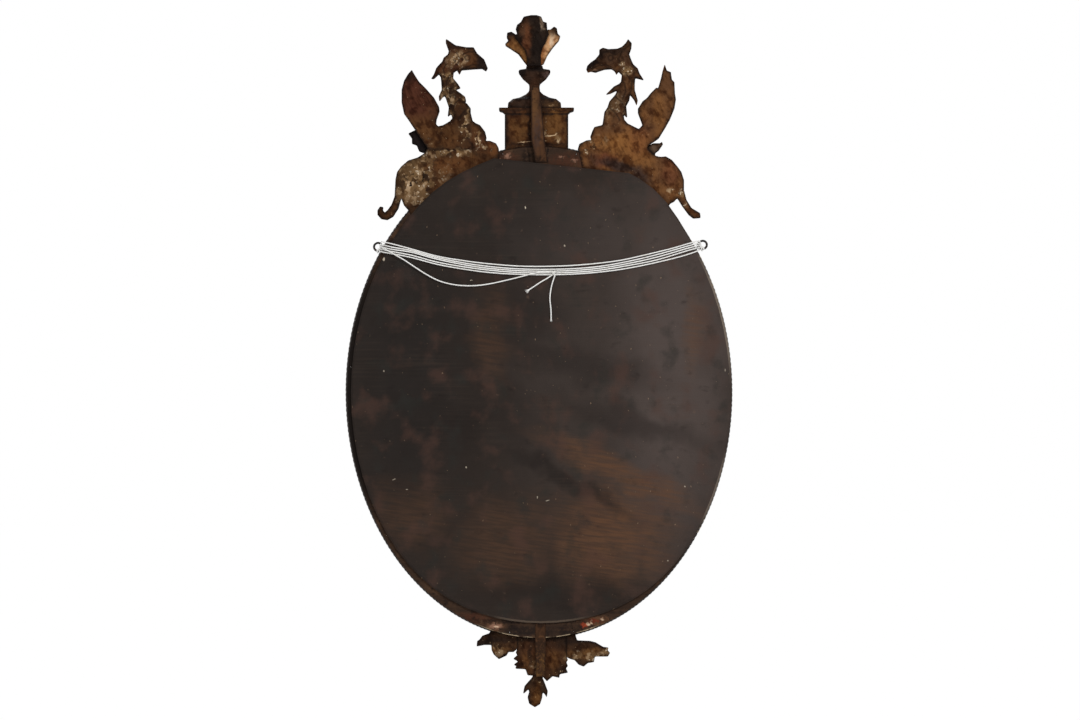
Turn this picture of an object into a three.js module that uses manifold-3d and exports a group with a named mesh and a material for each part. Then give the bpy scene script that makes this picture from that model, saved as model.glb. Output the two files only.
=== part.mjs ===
// Oval girandole mirror with two griffins, a crest and a pendant, hung by a cord on its back.
// Millimetres, +Z up. The glass faces -Y, the wall side is +Y, and the origin is the middle of the oval
// on the back face of the backboard. Left and right are as seen from the front, so right is +X.
import * as THREE from 'three';
import { mergeVertices } from 'three/addons/utils/BufferGeometryUtils.js';
import Module from 'manifold-3d';

// Driving dimensions ------------------------------------------------------------------------------
const SEAT_GAP = 0.3;              // clearance between pieces that touch

const OVAL_WIDTH = 774;            // over the roped edge
const OVAL_HEIGHT = 988;
const OVAL_STEPS = 72;             // flats round the oval

const BOARD_THICKNESS = 7;
const BOARD_INSET = 7;             // board edge inside the roped edge
const BOARD_SHIFT = -5;            // the board was nailed on a little to the left
const BOARD_FOOT_TRIM = 27;        // extra inset where the foot of the board is sawn flatter
const BOARD_TOP_DROP = 37;         // from the top of the oval down to the straight top cut
const BOARD_TOP_SLOPE = 0.11;      // rise of that cut towards the right griffin
const BOARD_CHAMFER = 4;

const CARCASS_INSET = 4;           // outer face of the frame inside the roped edge
const CARCASS_WIDTH = 52;
const CARCASS_DEPTH = 25.7;
const JOINT_GAP = 0.4;             // open joint between two felloes
const REBATE_WIDTH = 12;
const REBATE_DEPTH = 13.7;

const ROPE_DIAMETER = 8.2;
const ROPE_SIDES = 6;
const MOULDING_HEIGHT = 25;        // gilded moulding in front of the frame
const SLIP_WIDTH = 12;             // ebonised slip round the glass
const SLIP_HEIGHT = 19;
const GLASS_THICKNESS = 4;
const GLASS_PLAY = 0.5;            // between the edge of the plate and its rebate
const BLOCK_LENGTH = 46;           // glazing blocks behind the plate
const BLOCK_WIDTH = 9;

const GRIFFIN_ANGLE = 62.8;        // degrees up the oval from its side to the seat of each griffin
const GRIFFIN_EDGE = 20;           // thickness at the sawn edge
const GRIFFIN_CROWN = 17;          // extra thickness in the middle of the carving
const GRIFFIN_SWELL = 24;          // width of the rounded band along the edge
const GRIFFIN_LAP = 9;             // thickness of its lap joint over the back of the frame
const LAP_REACH = 32;              // how far inside the edge of the oval that lap ends
const HIP_LEAF_SETBACK = 11;
const HIP_LEAF_THICKNESS = 16;
const TOOL_CELL = 11;              // size of the facets of the carved faces

const BATTEN_THICKNESS = 10;
const CREST_NOTCH_SPARE = 12;      // the notch of the crest batten was cut too wide on the right

const PLINTH_WIDTH = 126;
const PLINTH_HEIGHT = 62;
const PLINTH_DEPTH = 42;
const PLINTH_SHIFT = 5;            // the crest stands a little right of the middle
const PLINTH_SKIRT = 30;           // below the top of the oval, before it is scribed to the frame
const CORNICE_HEIGHT = 12;
const CORNICE_OVERHANG = 11.5;
const BALUSTER_FLATTEN = 0.5;      // depth of the turned crest against its width
const BALUSTER_FLATS = 18;
const LEAF_THICKNESS = 14;
const LEAF_CROWN = 9;

const PENDANT_THICKNESS = 14;
const PENDANT_CROWN = 12;

const EYE_RADIUS = 8;              // to the middle of the wire
const EYE_WIRE = 4.4;
const EYE_SETBACK = 6;             // behind the back plane of the frame to the middle of the shank
const EYE_THREAD = 20;             // length of the shank in the wood
const RIGHT_EYE_ANGLE = 35.5;
const RIGHT_EYE_STANDOFF = 7;      // middle of the eye outside the roped edge
const LEFT_EYE_ANGLE = 144.4;
const LEFT_EYE_STANDOFF = 14;

const CORD_DIAMETER = 2.8;
const LASHING_DIAMETER = 10.4;
const KNOT_WIDTH = 11;
const KNOT_PLACE = [-29, 9.2, 239.5];

// Planes worked out from them, from the back to the front -----------------------------------------
const FRAME_BACK = -BOARD_THICKNESS - SEAT_GAP;
const FRAME_FRONT = FRAME_BACK - CARCASS_DEPTH;
const REBATE_SEAT = FRAME_BACK - REBATE_DEPTH;
const LAP_FRONT = FRAME_BACK - GRIFFIN_LAP;
const CARCASS_INNER = CARCASS_INSET + CARCASS_WIDTH;
const REBATE_INSET = CARCASS_INNER - REBATE_WIDTH;
const MOULDING_BACK = FRAME_FRONT - SEAT_GAP;
const MOULDING_OUTER = ROPE_DIAMETER + 2 * SEAT_GAP;
const GLASS_FRONT = REBATE_SEAT + SEAT_GAP;
const GLASS_BACK = GLASS_FRONT + GLASS_THICKNESS;
const GLASS_INSET = REBATE_INSET + GLASS_PLAY;
const CREST_BACK = FRAME_BACK - BATTEN_THICKNESS - SEAT_GAP;
const EYE_DEPTH = FRAME_BACK - EYE_SETBACK;
const OVAL_TOP = OVAL_HEIGHT / 2;
const BEHIND = 20;                 // planes clear of every piece, for tools that cut right through
const AHEAD = -120;

// Finishes ----------------------------------------------------------------------------------------
function finish(color, roughness, metalness) {
  return new THREE.MeshStandardMaterial({ color, roughness, metalness });
}
const STAINED_BOARD = finish(0x3a2f29, 0.75, 0);
const FRAME_WOOD = finish(0x4a3628, 0.8, 0);
const CARVED_WOOD = finish(0x84603a, 0.7, 0);
const GILDING = finish(0xb08a45, 0.4, 0.7);
const EBONISED = finish(0x17130f, 0.35, 0);
const SILVERED_GLASS = finish(0xcfd6d8, 0.05, 0.9);
const IRON = finish(0x1c1b1a, 0.55, 0.8);
const COTTON = finish(0xeeebe4, 0.9, 0);

// Solids ------------------------------------------------------------------------------------------
const kernel = await Module();
kernel.setup();

function solidFromArrays(points, triangles) {
  let volume = 0;
  for (const [a, b, c] of triangles) {
    const cross = new THREE.Vector3().crossVectors(points[b], points[c]);
    volume += points[a].dot(cross);
  }
  const facing = volume < 0 ? triangles.map(([a, b, c]) => [a, c, b]) : triangles;
  const vertProperties = new Float32Array(points.flatMap((p) => [p.x, p.y, p.z]));
  const triVerts = new Uint32Array(facing.flat());
  return new kernel.Manifold(new kernel.Mesh({ numProp: 3, vertProperties, triVerts }));
}

function solidFromGeometry(geometry) {
  const bare = geometry.clone();
  bare.deleteAttribute('normal');
  bare.deleteAttribute('uv');
  const merged = mergeVertices(bare, 1e-4);
  const position = merged.getAttribute('position');
  const points = [];
  for (let i = 0; i < position.count; i += 1) {
    points.push(new THREE.Vector3().fromBufferAttribute(position, i));
  }
  const triangles = [];
  for (let i = 0; i < merged.index.count; i += 3) {
    const corners = [merged.index.getX(i), merged.index.getX(i + 1), merged.index.getX(i + 2)];
    if (new Set(corners).size === 3) {
      triangles.push(corners);
    }
  }
  return solidFromArrays(points, triangles);
}

function geometryFromSolid(solid) {
  const mesh = solid.getMesh();
  const geometry = new THREE.BufferGeometry();
  geometry.setAttribute('position', new THREE.BufferAttribute(mesh.vertProperties, 3));
  geometry.setIndex(new THREE.BufferAttribute(mesh.triVerts, 1));
  geometry.computeVertexNormals();
  return geometry;
}

const mirror = new THREE.Group();

function addPiece(name, solid, material) {
  const piece = new THREE.Mesh(geometryFromSolid(solid), material);
  piece.name = name;
  mirror.add(piece);
}

// The triangles that fill a flat closed loop of points, turned the way that the loop runs.
function fill(loop) {
  const sign = Math.sign(THREE.ShapeUtils.area(loop));
  return THREE.ShapeUtils.triangulateShape(loop, []).map(([a, b, c]) => {
    const turned = Math.sign(THREE.ShapeUtils.area([loop[a], loop[b], loop[c]]));
    return turned * sign < 0 ? [a, c, b] : [a, b, c];
  });
}

// The walls between two neighbouring loops of like points, whose first points have these numbers.
function walls(here, there, count) {
  const triangles = [];
  for (let i = 0; i < count; i += 1) {
    const next = (i + 1) % count;
    triangles.push([here + i, here + next, there + next]);
    triangles.push([here + i, there + next, there + i]);
  }
  return triangles;
}

// A solid through a row of closed loops of like points. flatten takes a point and its number in the loop
// and gives its place in the end faces.
function loft(loops, flatten) {
  const count = loops[0].length;
  const last = (loops.length - 1) * count;
  const triangles = [];
  for (let row = 0; row < last; row += count) {
    triangles.push(...walls(row, row + count, count));
  }
  for (const [a, b, c] of fill(loops[0].map(flatten))) {
    triangles.push([a, c, b]);
  }
  for (const [a, b, c] of fill(loops[loops.length - 1].map(flatten))) {
    triangles.push([last + a, last + b, last + c]);
  }
  return solidFromArrays(loops.flat(), triangles);
}

// An outline of [x, z] points sawn through from the plane y = back to y = front.
function sawn(outline, back, front) {
  const shape = new THREE.Shape(outline.map(([x, z]) => new THREE.Vector2(x, z)));
  const geometry = new THREE.ExtrudeGeometry(shape, { depth: back - front, bevelEnabled: false });
  geometry.rotateX(Math.PI / 2);
  geometry.translate(0, back, 0);
  return solidFromGeometry(geometry);
}

function moved(outline, x, z) {
  return outline.map(([px, pz]) => [px + x, pz + z]);
}

// Each point of an outline moved outwards by the same margin.
function grown(outline, margin) {
  const turn = THREE.ShapeUtils.area(outline.map(([x, z]) => new THREE.Vector2(x, z))) > 0 ? 1 : -1;
  return outline.map(([x, z], i) => {
    const before = outline[(i + outline.length - 1) % outline.length];
    const after = outline[(i + 1) % outline.length];
    const a = new THREE.Vector2(x - before[0], z - before[1]).normalize();
    const b = new THREE.Vector2(after[0] - x, after[1] - z).normalize();
    const normal = new THREE.Vector2(a.y + b.y, -a.x - b.x).normalize();
    const spread = margin / Math.max(0.5, normal.x * a.y - normal.y * a.x);
    return [x + turn * spread * normal.x, z + turn * spread * normal.y];
  });
}

// The saw kerf along a line of points, as wide as a seat gap, cut right through the frame's depth.
function kerf(line) {
  const half = SEAT_GAP / 2;
  const sides = line.map(([x, z], i) => {
    const before = line[Math.max(i - 1, 0)];
    const after = line[Math.min(i + 1, line.length - 1)];
    const along = new THREE.Vector2(after[0] - before[0], after[1] - before[1]).normalize();
    return [[x - half * along.y, z + half * along.x], [x + half * along.y, z - half * along.x]];
  });
  const ribbon = [...sides.map((side) => side[0]), ...sides.map((side) => side[1]).reverse()];
  return sawn(ribbon, BEHIND, AHEAD);
}

function cutAll(solid, tools) {
  return tools.reduce((rest, tool) => rest.subtract(tool), solid);
}

// Of the loose pieces of a sawn solid, the one whose middle lies nearest to a point.
function pieceNear(solid, [x, z]) {
  const distance = (piece) => {
    const { min, max } = piece.boundingBox();
    return Math.hypot((min[0] + max[0]) / 2 - x, (min[2] + max[2]) / 2 - z);
  };
  return solid.decompose().sort((a, b) => distance(a) - distance(b))[0];
}

// The oval ----------------------------------------------------------------------------------------
// A point of the oval at an angle in degrees, moved inwards by an inset along the oval's normal.
function ovalPoint(degrees, inset) {
  const angle = THREE.MathUtils.degToRad(degrees);
  const halfWidth = OVAL_WIDTH / 2;
  const halfHeight = OVAL_HEIGHT / 2;
  const normal = new THREE.Vector2(Math.cos(angle) / halfWidth, Math.sin(angle) / halfHeight).normalize();
  return [halfWidth * Math.cos(angle) - inset * normal.x, halfHeight * Math.sin(angle) - inset * normal.y];
}

function ovalNormal(degrees) {
  const [innerX, innerZ] = ovalPoint(degrees, 1);
  const [outerX, outerZ] = ovalPoint(degrees, 0);
  return [outerX - innerX, outerZ - innerZ];
}

// The same point on the flats of the faceted oval.
function flatPoint(degrees, inset) {
  const step = 360 / OVAL_STEPS;
  const index = Math.floor(degrees / step + 1e-9);
  const share = degrees / step - index;
  const [x1, z1] = ovalPoint(index * step, inset);
  const [x2, z2] = ovalPoint((index + 1) * step, inset);
  return [x1 + share * (x2 - x1), z1 + share * (z2 - z1)];
}

function ovalOutline(inset) {
  return Array.from({ length: OVAL_STEPS }, (_, i) => ovalPoint((i * 360) / OVAL_STEPS, inset));
}

function ringPoints(profile, degrees) {
  return profile.map(([inset, y]) => {
    const [x, z] = flatPoint(degrees, inset);
    return new THREE.Vector3(x, y, z);
  });
}

// A profile of [inset, y] points carried all round the oval.
function ring(profile) {
  const points = [];
  const triangles = [];
  const count = profile.length;
  for (let i = 0; i < OVAL_STEPS; i += 1) {
    points.push(...ringPoints(profile, (i * 360) / OVAL_STEPS));
    triangles.push(...walls(i * count, ((i + 1) % OVAL_STEPS) * count, count));
  }
  return solidFromArrays(points, triangles);
}

// The same profile carried from one angle to another, with flat ends.
function arc(profile, from, to) {
  const step = 360 / OVAL_STEPS;
  const stops = [from];
  for (let i = Math.floor(from / step) + 1; i * step < to - 1e-6; i += 1) {
    stops.push(i * step);
  }
  stops.push(to);
  const rows = stops.map((degrees) => ringPoints(profile, degrees));
  return loft(rows, (_, k) => new THREE.Vector2(...profile[k]));
}

// What a piece that stands on the frame must leave free: the felloes behind, the roped edge in front.
const FRAME_ROOM = sawn(ovalOutline(CARCASS_INSET - SEAT_GAP), BEHIND, MOULDING_BACK)
  .add(sawn(ovalOutline(-SEAT_GAP), MOULDING_BACK, AHEAD));

// Carving -----------------------------------------------------------------------------------------
function distanceInside(outline, x, z) {
  let nearest = Infinity;
  let inside = false;
  for (let i = 0, j = outline.length - 1; i < outline.length; j = i, i += 1) {
    const [ax, az] = outline[i];
    const [bx, bz] = outline[j];
    const along = ((x - ax) * (bx - ax) + (z - az) * (bz - az)) / ((bx - ax) ** 2 + (bz - az) ** 2);
    const share = Math.min(1, Math.max(0, along));
    nearest = Math.min(nearest, Math.hypot(x - ax - share * (bx - ax), z - az - share * (bz - az)));
    if (az > z !== bz > z && x < ((bx - ax) * (z - az)) / (bz - az) + ax) {
      inside = !inside;
    }
  }
  return inside ? nearest : 0;
}

function quarterRound(share) {
  return Math.sqrt(1 - (1 - Math.min(1, share)) ** 2);
}

// A board sawn to an outline and carved on its front, so that it swells from its edge to its crown.
// Where roundedAbove is given, the back is rounded off too above that height.
function carved(outline, { back, edge, crown, swell, roundedAbove = Infinity, backRound = 0 }) {
  const xs = outline.map((p) => p[0]);
  const zs = outline.map((p) => p[1]);
  const margin = 1;
  const left = Math.min(...xs) - margin;
  const low = Math.min(...zs) - margin;
  const columns = Math.ceil((Math.max(...xs) + margin - left) / TOOL_CELL);
  const rows = Math.ceil((Math.max(...zs) + margin - low) / TOOL_CELL);
  const layers = [[], []];
  for (let j = 0; j <= rows; j += 1) {
    for (let i = 0; i <= columns; i += 1) {
      const x = left + i * TOOL_CELL;
      const z = low + j * TOOL_CELL;
      const inside = distanceInside(outline, x, z);
      const front = back - edge - crown * quarterRound(inside / swell);
      const round = Math.min(1, Math.max(0, (z - roundedAbove) / (3 * TOOL_CELL)));
      const behind = back + backRound * (1 - round * (2 - quarterRound((2 * inside) / swell)));
      layers[0].push(new THREE.Vector3(x, front, z));
      layers[1].push(new THREE.Vector3(x, Math.max(behind, front + 4), z));
    }
  }
  const size = (columns + 1) * (rows + 1);
  const triangles = [];
  const at = (i, j) => j * (columns + 1) + i;
  for (let j = 0; j < rows; j += 1) {
    for (let i = 0; i < columns; i += 1) {
      const [a, b, c, d] = [at(i, j), at(i + 1, j), at(i + 1, j + 1), at(i, j + 1)];
      triangles.push([a, b, c]);
      triangles.push([a, c, d]);
      triangles.push([size + a, size + c, size + b]);
      triangles.push([size + a, size + d, size + c]);
    }
  }
  const rim = [];
  for (let i = 0; i < columns; i += 1) {
    rim.push(at(i, 0));
  }
  for (let j = 0; j < rows; j += 1) {
    rim.push(at(columns, j));
  }
  for (let i = columns; i > 0; i -= 1) {
    rim.push(at(i, rows));
  }
  for (let j = rows; j > 0; j -= 1) {
    rim.push(at(0, j));
  }
  rim.forEach((a, k) => {
    const b = rim[(k + 1) % rim.length];
    triangles.push([a, size + a, size + b]);
    triangles.push([a, size + b, b]);
  });
  return solidFromArrays(layers.flat(), triangles).intersect(sawn(outline, back, back - edge - 2 * crown));
}

// Screw eyes --------------------------------------------------------------------------------------
const eyeFittings = [
  { side: 'right', angle: RIGHT_EYE_ANGLE, standoff: RIGHT_EYE_STANDOFF },
  { side: 'left', angle: LEFT_EYE_ANGLE, standoff: LEFT_EYE_STANDOFF },
].map((eye) => {
  const [x, z] = ovalPoint(eye.angle, -eye.standoff);
  return { ...eye, center: new THREE.Vector3(x, EYE_DEPTH, z), outwards: ovalNormal(eye.angle) };
});

function eyeRing(eye, wireRadius) {
  const sides = 6;
  const section = Array.from({ length: sides + 1 }, (_, i) => {
    const angle = (i * 2 * Math.PI) / sides;
    return new THREE.Vector2(EYE_RADIUS + wireRadius * Math.cos(angle), wireRadius * Math.sin(angle));
  });
  const geometry = new THREE.LatheGeometry(section, 16);
  geometry.translate(eye.center.x, eye.center.y, eye.center.z);
  return solidFromGeometry(geometry);
}

function eyeShank(eye, radius, spare) {
  const length = eye.standoff + CARCASS_INSET + EYE_THREAD + spare - EYE_RADIUS;
  const geometry = new THREE.CylinderGeometry(radius, radius, length, 8);
  geometry.translate(0, -EYE_RADIUS - length / 2, 0);
  geometry.rotateX(Math.PI / 2);
  geometry.rotateY(Math.atan2(eye.outwards[0], eye.outwards[1]));
  geometry.translate(eye.center.x, eye.center.y, eye.center.z);
  return solidFromGeometry(geometry);
}

const shankHoles = eyeFittings.map((eye) => eyeShank(eye, EYE_WIRE / 2 + SEAT_GAP, SEAT_GAP));

for (const eye of eyeFittings) {
  addPiece(`screw_eye_${eye.side}`, eyeRing(eye, EYE_WIRE / 2).add(eyeShank(eye, EYE_WIRE / 2, 0)), IRON);
}

// Battens -----------------------------------------------------------------------------------------
// Each batten lies in a notch in the back of the frame and carries the crest or the pendant on its front.
// Their outlines are measured from the top and from the foot of the oval.
const battens = {
  crest_batten: {
    outline: moved([
      [-16.6, -36], [7.6, -36], [9.2, -20], [15.2, 11], [15.6, 110], [12, 116], [2, 116], [-1.4, 110],
      [-10.8, 11], [-14.8, -20],
    ], 0, OVAL_TOP),
    spare: CREST_NOTCH_SPARE,
  },
  pendant_batten: {
    outline: moved([[-13.5, 36], [-13.2, 0], [-11.2, -73], [5.2, -73], [7.2, 0], [7.5, 36]], 0, -OVAL_TOP),
    spare: 0,
  },
};
for (const [name, { outline }] of Object.entries(battens)) {
  addPiece(name, sawn(outline, FRAME_BACK, FRAME_BACK - BATTEN_THICKNESS), FRAME_WOOD);
}
const battenNotches = Object.values(battens).map(({ outline, spare }) => {
  const widened = grown(outline, SEAT_GAP).map(([x, z]) => [x > 0 ? x + spare : x, z]);
  return sawn(widened, BEHIND, FRAME_BACK - BATTEN_THICKNESS - SEAT_GAP);
});

// Griffins ----------------------------------------------------------------------------------------
// Each outline is measured from the middle of the griffin's seat on the edge of the oval. Its lowest
// stretch runs inside the oval, where it is thinned to a lap that lies in a notch in the back of the frame.
const griffinCut = {
  back: FRAME_BACK,
  edge: GRIFFIN_EDGE,
  crown: GRIFFIN_CROWN,
  swell: GRIFFIN_SWELL,
  roundedAbove: 95,
  backRound: 9,
};

const rightGriffin = [
  [9, 265], [-10, 252], [-32, 248], [-46, 248], [-53, 236], [-67, 224], [-74, 207], [-71, 201],
  [-63, 206], [-45, 205], [-22, 203], [-18, 194], [-13, 203], [-6, 198],
  [-5, 187], [-15, 175], [-20, 167], [-10, 164], [-20, 157], [-29, 150], [-31, 141], [-25, 143],
  [-33, 136], [-40, 127], [-40, 118], [-44, 102],
  [-50, 97], [-59, 93], [-69, 80], [-72, 68], [-70, 62], [-79, 62], [-91, 57], [-96, 48], [-98, 33],
  [-98, 1], [-40, -43], [20, -79], [64, -119],
  [83, -76], [92, -66], [98, -51], [100, -58], [104, -72], [114, -88], [126, -95], [138, -93],
  [145, -85], [145, -76], [140, -69], [134, -70], [135, -76], [131, -81], [125, -76], [117, -65],
  [111, -49], [110, -33], [109, -14], [106, 0], [98, 11], [84, 23], [65, 29], [52, 37],
  [45, 48], [61, 71], [72, 87], [84, 105], [92, 116], [97, 139], [97, 164], [92, 182], [85, 194],
  [77, 203], [72, 194], [63, 180], [49, 166], [33, 148], [23, 130], [22, 121], [28, 105], [29, 96],
  [25, 91], [15, 93], [1, 101], [-4, 107], [-2, 116], [5, 111], [3, 129], [7, 141], [11, 152],
  [16, 149], [22, 141], [23, 151], [17, 164], [18, 178], [19, 189], [23, 195], [33, 186], [38, 186],
  [33, 194], [28, 207], [22, 214], [16, 220], [13, 228], [5, 234], [3, 240], [9, 257],
];
const rightHipLeaf = [
  [68, 85], [71, 83], [83, 77], [76, 67], [76, 57], [67, 54], [62, 42], [54, 39], [48, 40], [32, 41],
  [48, 69],
];
const rightKerfs = {
  haunch: [[62, 45], [46, 42], [20, 44], [-44, 46]],
  chest: [[-46, 112], [-44, 45], [-45, -15]],
  tail: [[120, -34], [98, -49], [97.6, -58]],
};
const rightPieces = {
  torso: [10, 155],
  haunch: [40, 0],
  foreleg: [-72, 50],
  tail: [122, -65],
};

const leftGriffin = [
  [-1, 265], [-8, 257], [-7, 246], [-3, 235], [-7, 224], [-11, 215], [-20, 207], [-24, 196],
  [-32, 184], [-21, 187], [-15, 188], [-14, 175], [-14, 164], [-20, 143], [-18, 134], [-13, 145],
  [-5, 155], [-3, 143], [3, 132], [1, 109], [8, 116], [7, 105], [0, 97], [-22, 86],
  [-30, 94], [-26, 105], [-21, 118], [-21, 127], [-30, 141], [-39, 148], [-46, 157], [-57, 168],
  [-61, 167], [-67, 187], [-70, 201], [-74, 214], [-78, 202], [-86, 199], [-88, 184], [-93, 179],
  [-94, 157], [-96, 145], [-93, 127], [-84, 105], [-75, 89], [-62, 68], [-46, 57], [-38, 51],
  [-45, 42], [-55, 33], [-66, 30], [-76, 31], [-88, 24], [-99, 11], [-107, 0], [-112, -16],
  [-112, -37], [-117, -56], [-127, -72], [-144, -82], [-145, -91], [-131, -92], [-122, -85],
  [-110, -69], [-100, -53], [-97, -53], [-93, -58], [-85, -62],
  [-56, -107], [-6, -67], [54, -35], [86, -19],
  [94, 25], [99, 46], [96, 56], [82, 63], [72, 64], [74, 71], [70, 82], [66, 90], [50, 94],
  [48, 105], [46, 120], [40, 129], [36, 141], [24, 155], [20, 164], [34, 157], [43, 155], [27, 171],
  [17, 176], [13, 180], [11, 194],
  [18, 201], [22, 195], [26, 202], [32, 206], [46, 205], [64, 199], [73, 201], [79, 199], [82, 205],
  [80, 212], [73, 219], [64, 225], [56, 235], [56, 244], [49, 248], [39, 245], [20, 246], [11, 250],
  [3, 258],
];
const leftHipLeaf = [
  [-38, 51], [-52, 57], [-65, 57], [-68, 60], [-70, 55], [-62, 44], [-55, 39], [-55, 33], [-48, 25],
  [-30, 41],
];
const leftKerfs = {
  wing: [[-20, 93], [-36, 77], [-37, 65], [-41, 45]],
  foreleg: [[75, 71], [68, 45], [66, -25]],
  haunch: [[-63, 41], [-61, -5], [-60, -105]],
  tail: [[-120, -30], [-98.5, -50], [-98.5, -60]],
};
const leftPieces = {
  torso: [15, 120],
  wing: [-60, 130],
  foreleg: [82, 45],
  haunch: [-87, -10],
  tail: [-128, -65],
};

const lapEnd = sawn(ovalOutline(LAP_REACH), BEHIND, AHEAD);
const griffinRoom = FRAME_ROOM.subtract(sawn(ovalOutline(0), BEHIND, LAP_FRONT).subtract(lapEnd));
const notchEnd = sawn(ovalOutline(LAP_REACH + SEAT_GAP), BEHIND, AHEAD);
const griffinNotches = [];

function addGriffin(side, seatAngle, outline, hipLeaf, kerfs, pieces) {
  const [x, z] = ovalPoint(seatAngle, 0);
  const placed = moved(outline, x, z);
  const blank = carved(placed, { ...griffinCut, roundedAbove: z + griffinCut.roundedAbove });
  const saws = Object.values(kerfs).map((line) => kerf(moved(line, x, z)));
  const boards = cutAll(blank, [griffinRoom, ...saws]);
  for (const [piece, [px, pz]] of Object.entries(pieces)) {
    addPiece(`griffin_${side}_${piece}`, pieceNear(boards, [px + x, pz + z]), CARVED_WOOD);
  }
  const leafCut = { back: FRAME_BACK - HIP_LEAF_SETBACK, edge: HIP_LEAF_THICKNESS, crown: 4, swell: 8 };
  const body = sawn(grown(placed, SEAT_GAP), BEHIND, AHEAD);
  griffinNotches.push(body.trimByPlane([0, 1, 0], LAP_FRONT - SEAT_GAP).subtract(notchEnd));
  const leaf = carved(moved(hipLeaf, x, z), leafCut).subtract(body);
  addPiece(`griffin_${side}_hip_leaf`, pieceNear(leaf, [hipLeaf[2][0] + x, hipLeaf[2][1] + z]), CARVED_WOOD);
}

addGriffin('right', GRIFFIN_ANGLE, rightGriffin, rightHipLeaf, rightKerfs, rightPieces);
addGriffin('left', 180 - GRIFFIN_ANGLE, leftGriffin, leftHipLeaf, leftKerfs, leftPieces);

// Frame ring --------------------------------------------------------------------------------------
// Ten felloes butted end to end, counted from the top towards the left side and round.
const felloeJoints = [79, 101.5, 132, 174, 216, 259.5, 279, 324, 366, 408, 439];
const carcassProfile = [
  [CARCASS_INSET, FRAME_BACK],
  [CARCASS_INSET, FRAME_FRONT],
  [CARCASS_INNER, FRAME_FRONT],
  [CARCASS_INNER, REBATE_SEAT],
  [REBATE_INSET, REBATE_SEAT],
  [REBATE_INSET, FRAME_BACK],
];

function jointHalfAngle(degrees) {
  const [x1, z1] = ovalPoint(degrees, CARCASS_INNER);
  const [x2, z2] = ovalPoint(degrees + 1, CARCASS_INNER);
  return JOINT_GAP / 2 / Math.hypot(x2 - x1, z2 - z1);
}

for (let i = 0; i + 1 < felloeJoints.length; i += 1) {
  const from = felloeJoints[i] + jointHalfAngle(felloeJoints[i]);
  const to = felloeJoints[i + 1] - jointHalfAngle(felloeJoints[i + 1]);
  const felloe = cutAll(arc(carcassProfile, from, to), [...shankHoles, ...battenNotches, ...griffinNotches]);
  addPiece(`frame_felloe_${String(i + 1).padStart(2, '0')}`, felloe, FRAME_WOOD);
}

const ropeRadius = ROPE_DIAMETER / 2;
const ropeCenter = MOULDING_BACK - ropeRadius - SEAT_GAP;
const ropeProfile = Array.from({ length: ROPE_SIDES }, (_, i) => {
  const angle = (i * 2 * Math.PI) / ROPE_SIDES;
  return [ropeRadius - ropeRadius * Math.cos(angle), ropeCenter + ropeRadius * Math.sin(angle)];
});
addPiece('roped_edge', ring(ropeProfile), GILDING);

// The moulding's section, as shares of its width from the roped edge and of its height above the frame.
const mouldingShape = [[0, 0], [0, 0.4], [0.08, 0.48], [0.12, 0.74], [0.25, 0.96], [0.42, 1],
  [0.56, 0.8], [0.64, 0.5], [0.84, 0.44], [1, 0.28], [1, 0]];
const mouldingWidth = CARCASS_INNER - MOULDING_OUTER;
const mouldingProfile = mouldingShape.map(([across, up]) => [
  MOULDING_OUTER + across * mouldingWidth,
  MOULDING_BACK - up * MOULDING_HEIGHT,
]);
addPiece('front_moulding', ring(mouldingProfile), GILDING);

// Glazing -----------------------------------------------------------------------------------------
const slipOuter = CARCASS_INNER + SEAT_GAP;
const slipProfile = [
  [slipOuter, REBATE_SEAT],
  [slipOuter, REBATE_SEAT - 0.85 * SLIP_HEIGHT],
  [slipOuter + 0.35 * SLIP_WIDTH, REBATE_SEAT - SLIP_HEIGHT],
  [slipOuter + 0.7 * SLIP_WIDTH, REBATE_SEAT - 0.85 * SLIP_HEIGHT],
  [slipOuter + SLIP_WIDTH, REBATE_SEAT - 0.5 * SLIP_HEIGHT],
  [slipOuter + SLIP_WIDTH, REBATE_SEAT],
];
addPiece('ebonised_slip', ring(slipProfile), EBONISED);
addPiece('mirror_plate', sawn(ovalOutline(GLASS_INSET), GLASS_BACK, GLASS_FRONT), SILVERED_GLASS);

const blockAngles = [22, 67, 113, 158, 202, 247, 293, 338];
const blockProfile = [
  [REBATE_INSET + SEAT_GAP, FRAME_BACK],
  [REBATE_INSET + SEAT_GAP, GLASS_BACK + SEAT_GAP],
  [REBATE_INSET + BLOCK_WIDTH, GLASS_BACK + SEAT_GAP],
];
blockAngles.forEach((degrees, i) => {
  const [x1, z1] = ovalPoint(degrees, REBATE_INSET);
  const [x2, z2] = ovalPoint(degrees + 1, REBATE_INSET);
  const half = BLOCK_LENGTH / 2 / Math.hypot(x2 - x1, z2 - z1);
  addPiece(`glazing_block_${i + 1}`, arc(blockProfile, degrees - half, degrees + half), FRAME_WOOD);
});

// Backboard ---------------------------------------------------------------------------------------
// The board's shoulders, as the angle of each and how far the saw ran outside its line there.
const boardShoulders = [[72, -5], [126, 9]];

// A bump of height 1 round an angle, the narrower the higher its power.
function bump(degrees, middle, power) {
  return Math.max(0, Math.cos(THREE.MathUtils.degToRad(degrees - middle))) ** power;
}

function boardLoop(shrink, y) {
  return Array.from({ length: OVAL_STEPS }, (_, i) => {
    const degrees = (i * 360) / OVAL_STEPS;
    let inset = BOARD_INSET + shrink + BOARD_FOOT_TRIM * bump(degrees, 270, 6);
    for (const [angle, out] of boardShoulders) {
      inset -= out * bump(degrees, angle, 60);
    }
    const [x, z] = ovalPoint(degrees, inset);
    return new THREE.Vector3(x + BOARD_SHIFT, y, z);
  });
}

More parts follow.
